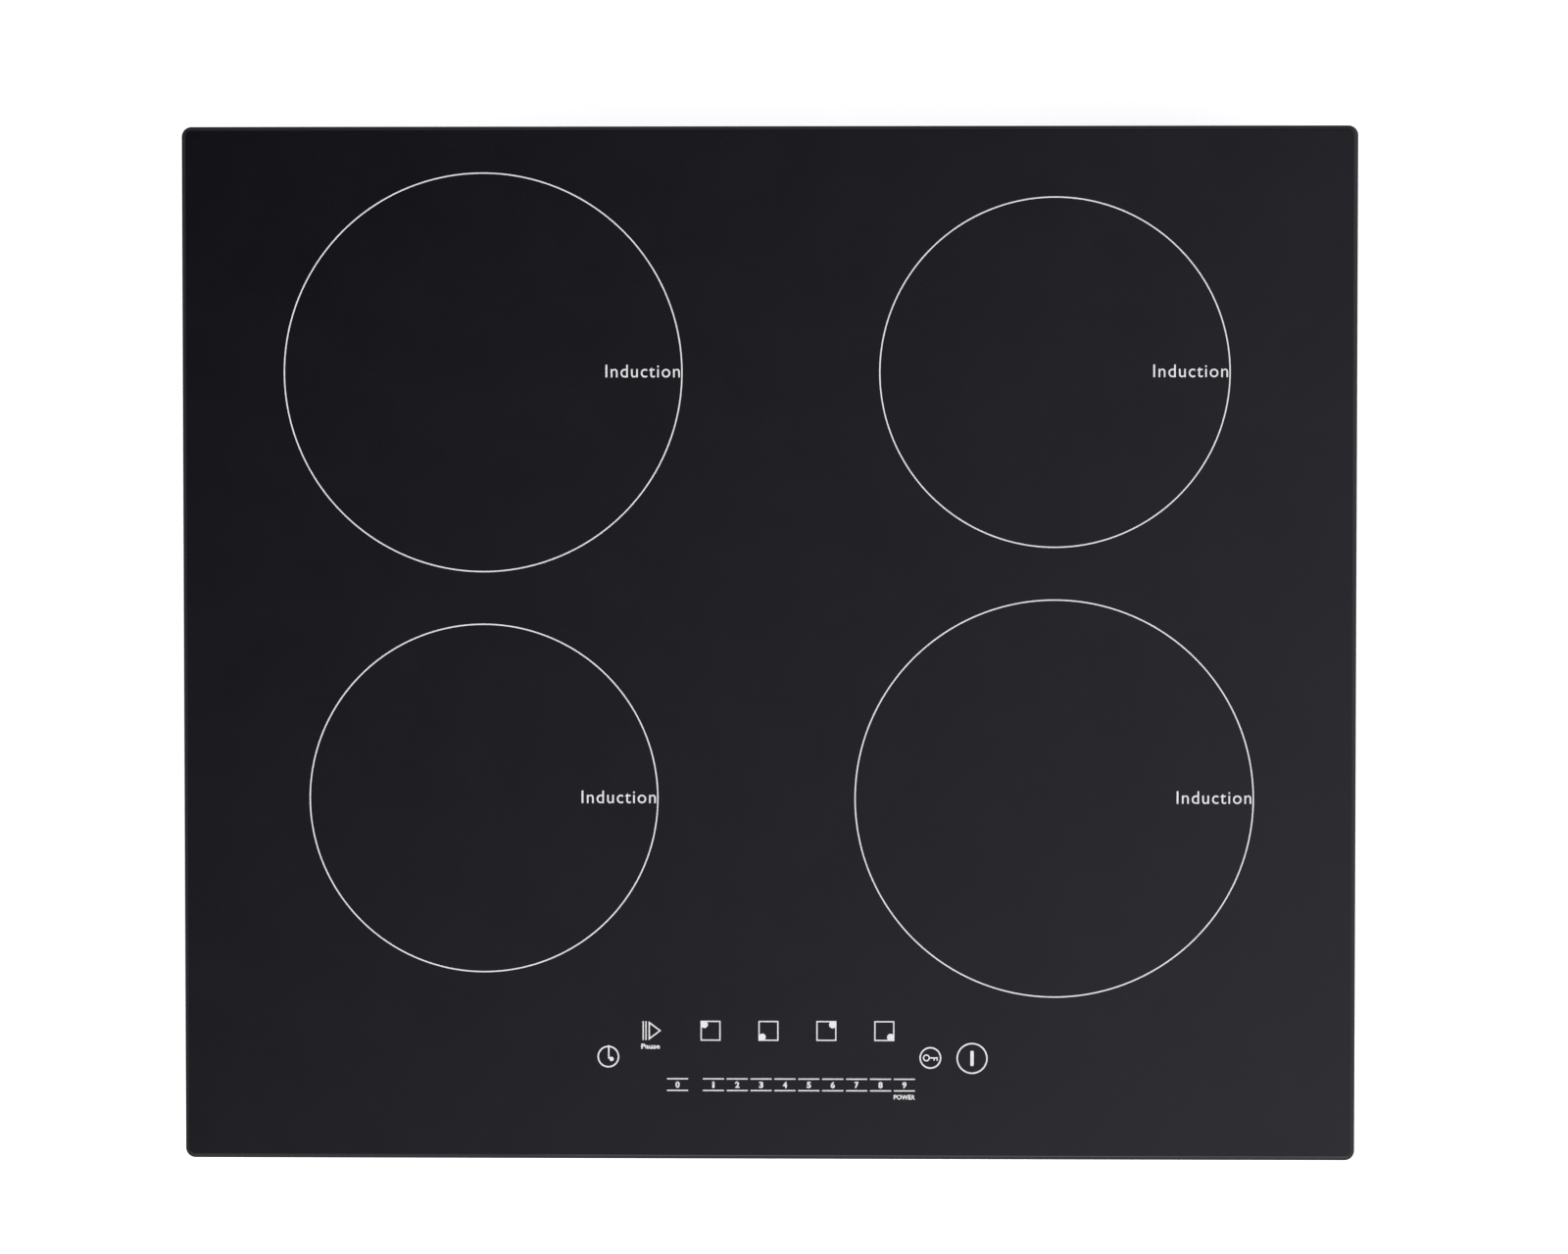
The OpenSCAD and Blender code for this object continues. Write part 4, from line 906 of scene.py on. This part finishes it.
def print_ring(x, y, outer, line=LINE, steps=192):
    """A flat ring: a circle's edge, extruded and drawn in."""
    bpy.ops.mesh.primitive_circle_add(vertices=steps, radius=outer, location=(0, 0, 0))
    ring = named("ring")
    enter("EDGE")
    bpy.ops.mesh.extrude_edges_move()
    bpy.ops.transform.resize(value=((outer - line) / outer,) * 2 + (1,))
    leave()
    ring.location = (x, y, INK_TOP)
    return settle(ring)


def print_dot(x, y, radius):
    bpy.ops.mesh.primitive_circle_add(
        vertices=32, radius=radius, fill_type="NGON", location=(x, y, INK_TOP))
    return settle(named("dot"))


def print_bar(x, y, w, h, turn=0.0, round_end=0.2 * MM):
    """A flat bar with rounded corners, turned about its middle."""
    bpy.ops.mesh.primitive_plane_add(size=1)
    bar = named("bar")
    bar.scale = (w, h, 1)
    settle(bar)
    enter("VERT")
    bpy.ops.mesh.bevel(offset=min(round_end, w * 0.45, h * 0.45), segments=4, affect="VERTICES")
    leave()
    bar.rotation_euler = (0, 0, turn)
    bar.location = (x, y, INK_TOP)
    return settle(bar)


def print_frame(x, y, size, line=LINE):
    """A flat square frame."""
    bpy.ops.mesh.primitive_plane_add(size=size)
    square = named("frame")
    enter()
    bpy.ops.mesh.inset(thickness=line)
    bpy.ops.mesh.delete(type="FACE")
    leave()
    square.location = (x, y, INK_TOP)
    return settle(square)


def print_triangle(x0, x1, y, h, line):
    """A flat triangle outline that points right, from x0 to x1."""
    bpy.ops.mesh.primitive_circle_add(vertices=3, radius=1, fill_type="NGON")
    outline = named("triangle")
    enter("VERT")
    bpy.ops.transform.rotate(value=math.pi / 2, orient_axis="Z", center_override=(0, 0, 0))
    leave()
    low = [min(v.co[i] for v in outline.data.vertices) for i in (0, 1)]
    span = [max(v.co[i] for v in outline.data.vertices) - low[i] for i in (0, 1)]
    points_right = sum(v.co.x for v in outline.data.vertices if abs(v.co.y) < 0.1) > 0
    outline.scale = ((x1 - x0) / span[0] * (1 if points_right else -1), h / span[1], 1)
    settle(outline)
    enter()
    bpy.ops.mesh.normals_make_consistent(inside=False)
    bpy.ops.mesh.inset(thickness=line)
    bpy.ops.mesh.delete(type="FACE")
    leave()
    edge = min(v.co.x for v in outline.data.vertices)
    outline.location = (x0 - edge, y, INK_TOP)
    return settle(outline)


def print_word(text, x, y, w, h, weight=0.0, spacing=1.0):
    """A word in the plain built-in face, its middle at x, y, drawn out to w by h. Its capitals set h."""
    bpy.ops.object.text_add()
    word = bpy.context.object
    word.data.body = text
    word.data.offset = weight
    word.data.space_character = spacing
    word.data.resolution_u = 4
    bpy.ops.object.convert(target="MESH")
    word = named("word")
    enter("VERT")
    bpy.ops.mesh.remove_doubles(threshold=0.0005)
    leave()
    corners = [Vector(c) for c in word.bound_box]
    low = Vector(map(min, *corners))
    high = Vector(map(max, *corners))
    word.data.transform(Matrix.Translation(-(low + high) / 2))
    word.scale = (w / (high.x - low.x), h / (high.y - low.y), 1)
    word.location = (x, y, INK_TOP)
    return settle(word)


LARGE_R, SMALL_R = 100 * MM, 87.7 * MM
RING_R = {"rear_left": LARGE_R, "rear_right": SMALL_R, "front_left": SMALL_R, "front_right": LARGE_R}
LABEL_W, LABEL_H = 37.4 * MM, 6.4 * MM
LABEL_SPACING = 1.12
LABEL_GAP = 0.7 * MM  # between a ring's line and the end of its label
LABEL_LIFT = 0.7 * MM  # from the ring's middle up to the label's


def print_zones():
    for zone in ZONES:
        centre = middle(f"heat_sensor_{zone}")
        radius = RING_R[zone]
        ring = print_ring(centre.x, centre.y, radius + RING_LINE / 2, RING_LINE)
        printed(f"zone_ring_{zone}", [ring])
        end = centre.x + radius - RING_LINE / 2 - LABEL_GAP
        word = print_word("Induction", end - LABEL_W / 2, centre.y + LABEL_LIFT,
                          LABEL_W, LABEL_H, spacing=LABEL_SPACING)
        printed(f"zone_label_{zone}", [word])


# Key places: across from the hob's middle, and back from the glass's front
TIMER = Vector((-80.9, 51.8)) * MM
LOCK = Vector((81.5, 51.5)) * MM
POWER = Vector((102.5, 51.3)) * MM
UPPER_Y = 65 * MM  # the line of the pause key and the zone keys
KEY_RING_R, POWER_RING_R = 5.5 * MM, 7.85 * MM
# The pause sign: two bars, an arrow, and the word under them
PAUSE_BARS = (-63.3 * MM, -61.9 * MM)
ARROW_BACK, ARROW_TIP, ARROW_LINE = -60.6 * MM, -54.2 * MM, 0.7 * MM
PAUSE_H = 9.6 * MM
PAUSE_WORD_X, PAUSE_WORD_DOWN, PAUSE_WORD_W, PAUSE_WORD_H = -59.6 * MM, 7.9 * MM, 9.5 * MM, 2.7 * MM
# Each zone key: its place across, and the corner that its dot marks
ZONE_KEYS = {
    "rear_left": (-29.3 * MM, -1, 1), "front_left": (-0.1 * MM, -1, -1),
    "rear_right": (29.1 * MM, 1, 1), "front_right": (58.3 * MM, 1, -1)}
KEY_SIZE = 10.1 * MM
KEY_DOT_R = 1.8 * MM
KEY_DOT_IN, KEY_FILL_IN = 1.9 * MM, 0.9 * MM  # how far in from the corner its dot is, and its fill
# The power row: its cells and digits, and the word under the last one
SLIDER_Y = 37.7 * MM
SLIDER_ZERO_X, SLIDER_FIRST_X, SLIDER_PITCH = -46 * MM, -27.9 * MM, 12.04 * MM
SLIDER_CELL_W, SLIDER_CELL_H = 10.7 * MM, 5.9 * MM
DIGIT_W, DIGIT_ONE_W, DIGIT_H = 2.2 * MM, 1.15 * MM, 3.3 * MM
POWER_WORD_DOWN, POWER_WORD_W, POWER_WORD_H = 6.1 * MM, 10.8 * MM, 2.5 * MM
WORD_WEIGHT, DIGIT_WEIGHT = 0.04, 0.045  # how much bolder than the plain face


def print_timer():
    """A clock: a ring with a hand that ends in a dot."""
    x, y = TIMER.x, TIMER.y + FRONT
    printed("timer_mark", [
        print_ring(x, y, KEY_RING_R, LINE, 96),
        print_bar(x + 0.2 * MM, y + 2.4 * MM, LINE, 6.8 * MM),
        print_bar(x + 0.9 * MM, y - 0.8 * MM, 1.6 * MM, 0.9 * MM, turn=-0.5),
        print_dot(x + 1.6 * MM, y - 1.2 * MM, 1.1 * MM)])


def print_pause():
    y = UPPER_Y + FRONT
    bars = [print_bar(x, y, FINE_LINE, PAUSE_H) for x in PAUSE_BARS]
    printed("pause_mark", bars + [
        print_triangle(ARROW_BACK, ARROW_TIP, y, PAUSE_H, ARROW_LINE),
        print_word("Pause", PAUSE_WORD_X, y - PAUSE_WORD_DOWN, PAUSE_WORD_W, PAUSE_WORD_H,
                   weight=WORD_WEIGHT)])


def print_zone_keys():
    y = UPPER_Y + FRONT
    inset = KEY_SIZE / 2 - KEY_DOT_IN
    corner = KEY_SIZE / 2 - KEY_FILL_IN
    fill = 2 * KEY_FILL_IN
    for zone, (x, across, back) in ZONE_KEYS.items():
        printed(f"zone_key_{zone}", [
            print_dot(x + across * inset, y + back * inset, KEY_DOT_R),
            print_frame(x, y, KEY_SIZE, FINE_LINE),
            print_bar(x + across * corner, y + back * corner, fill, fill, round_end=0.05 * MM)])


def print_slider():
    places = [SLIDER_ZERO_X] + [SLIDER_FIRST_X + step * SLIDER_PITCH for step in range(9)]
    y = SLIDER_Y + FRONT
    for digit, x in enumerate(places):
        width = DIGIT_ONE_W if digit == 1 else DIGIT_W
        shapes = [print_bar(x, y + side * SLIDER_CELL_H / 2, SLIDER_CELL_W, FINE_LINE)
                  for side in (-1, 1)]
        shapes.append(print_word(str(digit), x, y, width, DIGIT_H, weight=DIGIT_WEIGHT))
        printed(f"power_step_{digit}", shapes)
    word = print_word("POWER", places[-1], y - POWER_WORD_DOWN, POWER_WORD_W, POWER_WORD_H,
                      weight=WORD_WEIGHT)
    printed("power_word", [word])


def print_lock():
    """A ring with a key in it: a bow, a stem and two teeth."""
    x, y = LOCK.x, LOCK.y + FRONT
    printed("lock_mark", [
        print_ring(x, y, KEY_RING_R, LINE, 96),
        print_ring(x - 2.0 * MM, y, 1.75 * MM, FINE_LINE, 48),
        print_bar(x + 1.6 * MM, y, 4.4 * MM, FINE_LINE),
        print_bar(x + 1.9 * MM, y - 0.7 * MM, FINE_LINE, 1.3 * MM),
        print_bar(x + 3.4 * MM, y - 0.7 * MM, FINE_LINE, 1.5 * MM)])


def print_power():
    x, y = POWER.x, POWER.y + FRONT
    printed("power_mark", [
        print_ring(x, y, POWER_RING_R, LINE, 128),
        print_bar(x, y, 1.7 * MM, 7.7 * MM, round_end=0.5 * MM)])


# ---- light, floor and camera ----


def make_floor():
    bpy.ops.mesh.primitive_plane_add(size=14, location=(0, 0, 0))
    floor = named("floor")
    material = bpy.data.materials.new("pale_floor")
    material.use_nodes = True
    tree = material.node_tree
    shader = tree.nodes["Principled BSDF"]
    place = add(tree, "ShaderNodeTexCoord").outputs["Object"]
    tone = place_effect(tree, TONE, Light=rgb(0.86, 0.86, 0.87), Dark=rgb(0.84, 0.84, 0.85), Scale=3.0)
    chain(tree, place, tone.inputs["Place"])
    chain(tree, tone.outputs["Colour"], shader.inputs["Base Color"])
    shader.inputs["Roughness"].default_value = 0.9
    shader.inputs["Emission Color"].default_value = rgb(1, 1, 1)
    shader.inputs["Emission Strength"].default_value = 0.62
    under = add(tree, "ShaderNodeNewGeometry")
    clear = add(tree, "ShaderNodeBsdfTransparent")
    either = add(tree, "ShaderNodeMixShader")
    chain(tree, under.outputs["Backfacing"], either.inputs["Fac"])
    chain(tree, shader.outputs["BSDF"], either.inputs[1])
    chain(tree, clear.outputs["BSDF"], either.inputs[2])
    chain(tree, either.outputs["Shader"], tree.nodes["Material Output"].inputs["Surface"])
    floor.data.materials.append(material)


def make_sky():
    """A studio sky: pale all round, and a deep gradient overhead that the glass mirrors."""
    world = bpy.data.worlds.new("studio")
    bpy.context.scene.world = world
    world.use_nodes = True
    tree = world.node_tree
    ground = tree.nodes["Background"]
    place = add(tree, "ShaderNodeTexCoord").outputs["Generated"]
    split = add(tree, "ShaderNodeSeparateXYZ")
    slope = add(tree, "ShaderNodeVectorMath", operation="DOT_PRODUCT")
    slope.inputs[1].default_value = (0.75, -0.66, 0)
    along = add(tree, "ShaderNodeMapRange", **{"From Min": -0.22, "From Max": 0.22})
    bow = add(tree, "ShaderNodeMath", operation="POWER")
    bow.inputs[1].default_value = 1.35
    # What the glass mirrors, from its dark rear left to its paler front right
    overhead = add(tree, "ShaderNodeMix", data_type="RGBA")
    overhead.inputs[MIX_A].default_value = rgb(0.05, 0.0565, 0.083)
    overhead.inputs[MIX_B].default_value = rgb(0.78, 0.7525, 0.884)
    turn = add(tree, "ShaderNodeMapRange", **{"From Min": -1.0, "From Max": 1.0})
    around = add(tree, "ShaderNodeMix", data_type="RGBA")
    around.inputs[MIX_A].default_value = rgb(0.35, 0.35, 0.37)
    around.inputs[MIX_B].default_value = rgb(1.05, 1.05, 1.08)
    height = add(tree, "ShaderNodeMapRange", interpolation_type="SMOOTHSTEP",
                 **{"From Min": 0.75, "From Max": 0.92})
    rim = add(tree, "ShaderNodeMapRange", interpolation_type="SMOOTHSTEP",
              **{"From Min": 0.05, "From Max": 0.3, "To Min": 1.0, "To Max": 0.0})
    dome = add(tree, "ShaderNodeMix", data_type="RGBA")
    pale = add(tree, "ShaderNodeMix", data_type="RGBA")
    pale.inputs[MIX_B].default_value = rgb(1, 1, 1.02)
    chain(tree, place, split.inputs["Vector"])
    chain(tree, place, slope.inputs[0])
    chain(tree, slope.outputs["Value"], along.inputs["Value"])
    chain(tree, slope.outputs["Value"], turn.inputs["Value"])
    chain(tree, along.outputs["Result"], bow.inputs[0])
    chain(tree, bow.outputs["Value"], overhead.inputs["Factor"])
    chain(tree, turn.outputs["Result"], around.inputs["Factor"])
    chain(tree, split.outputs["Z"], height.inputs["Value"])
    chain(tree, split.outputs["Z"], rim.inputs["Value"])
    chain(tree, height.outputs["Result"], dome.inputs["Factor"])
    chain(tree, around.outputs[MIXED], dome.inputs[MIX_A])
    chain(tree, overhead.outputs[MIXED], dome.inputs[MIX_B])
    chain(tree, rim.outputs["Result"], pale.inputs["Factor"])
    chain(tree, dome.outputs[MIXED], pale.inputs[MIX_A])
    rays = add(tree, "ShaderNodeLightPath")
    seen = add(tree, "ShaderNodeMix", data_type="RGBA")
    seen.inputs[MIX_B].default_value = rgb(1, 1, 1)
    chain(tree, rays.outputs["Is Camera Ray"], seen.inputs["Factor"])
    chain(tree, pale.outputs[MIXED], seen.inputs[MIX_A])
    chain(tree, seen.outputs[MIXED], ground.inputs["Color"])
    ground.inputs["Strength"].default_value = 1.0


def make_softbox(name, place, width, height, radiance, mirrored=False):
    """A softbox that faces the hob. The glass shows it only if it is mirrored."""
    light = bpy.data.lights.new(name, "AREA")
    light.shape = "RECTANGLE"
    light.size = width
    light.size_y = height
    light.energy = radiance * math.pi * width * height
    lamp = bpy.data.objects.new(name, light)
    bpy.context.scene.collection.objects.link(lamp)
    lamp.location = place
    lamp.rotation_euler = (-Vector(place)).to_track_quat("-Z", "Y").to_euler()
    lamp.visible_glossy = mirrored


def make_lights():
    make_softbox("key_light", (1.1, -1.9, 2.2), 1.4, 1.4, 3.0)
    make_softbox("side_light", (-2.2, -0.6, 1.8), 1.2, 1.2, 1.6)
    make_softbox("back_light", (-0.9, 2.3, 1.7), 1.2, 1.2, 2.2)
    make_softbox("edge_light", (0.45, -1.95, 1.5), 1.5, 0.5, 3.4, mirrored=True)


CAMERA_PLACE = Vector((0.0469, 0.0775, 2.248))
CAMERA_LOOKS = Vector((-0.0179, -0.0314, -1.0))
LENS_MM, SENSOR_MM = 100, 36


def make_camera():
    data = bpy.data.cameras.new("camera")
    data.lens = LENS_MM
    data.sensor_width = SENSOR_MM
    camera = bpy.data.objects.new("camera", data)
    bpy.context.scene.collection.objects.link(camera)
    back = -CAMERA_LOOKS.normalized()
    across = BACK.cross(back).normalized()
    turn = Matrix((across, back.cross(across), back)).transposed()
    camera.matrix_world = Matrix.Translation(CAMERA_PLACE) @ turn.to_4x4()
    bpy.context.scene.camera = camera


make_camera()
make_sky()
make_lights()
make_floor()
make_finishes()
dress_cad_nodes()
make_glass()
make_tray()
make_seal()
for zone in ZONES:
    make_winding(zone)
for node, width in ROUNDED.items():
    round_node(node, width)
print_zones()
print_timer()
print_pause()
print_zone_keys()
print_slider()
print_lock()
print_power()

bpy.context.scene.view_settings.view_transform = "Standard"
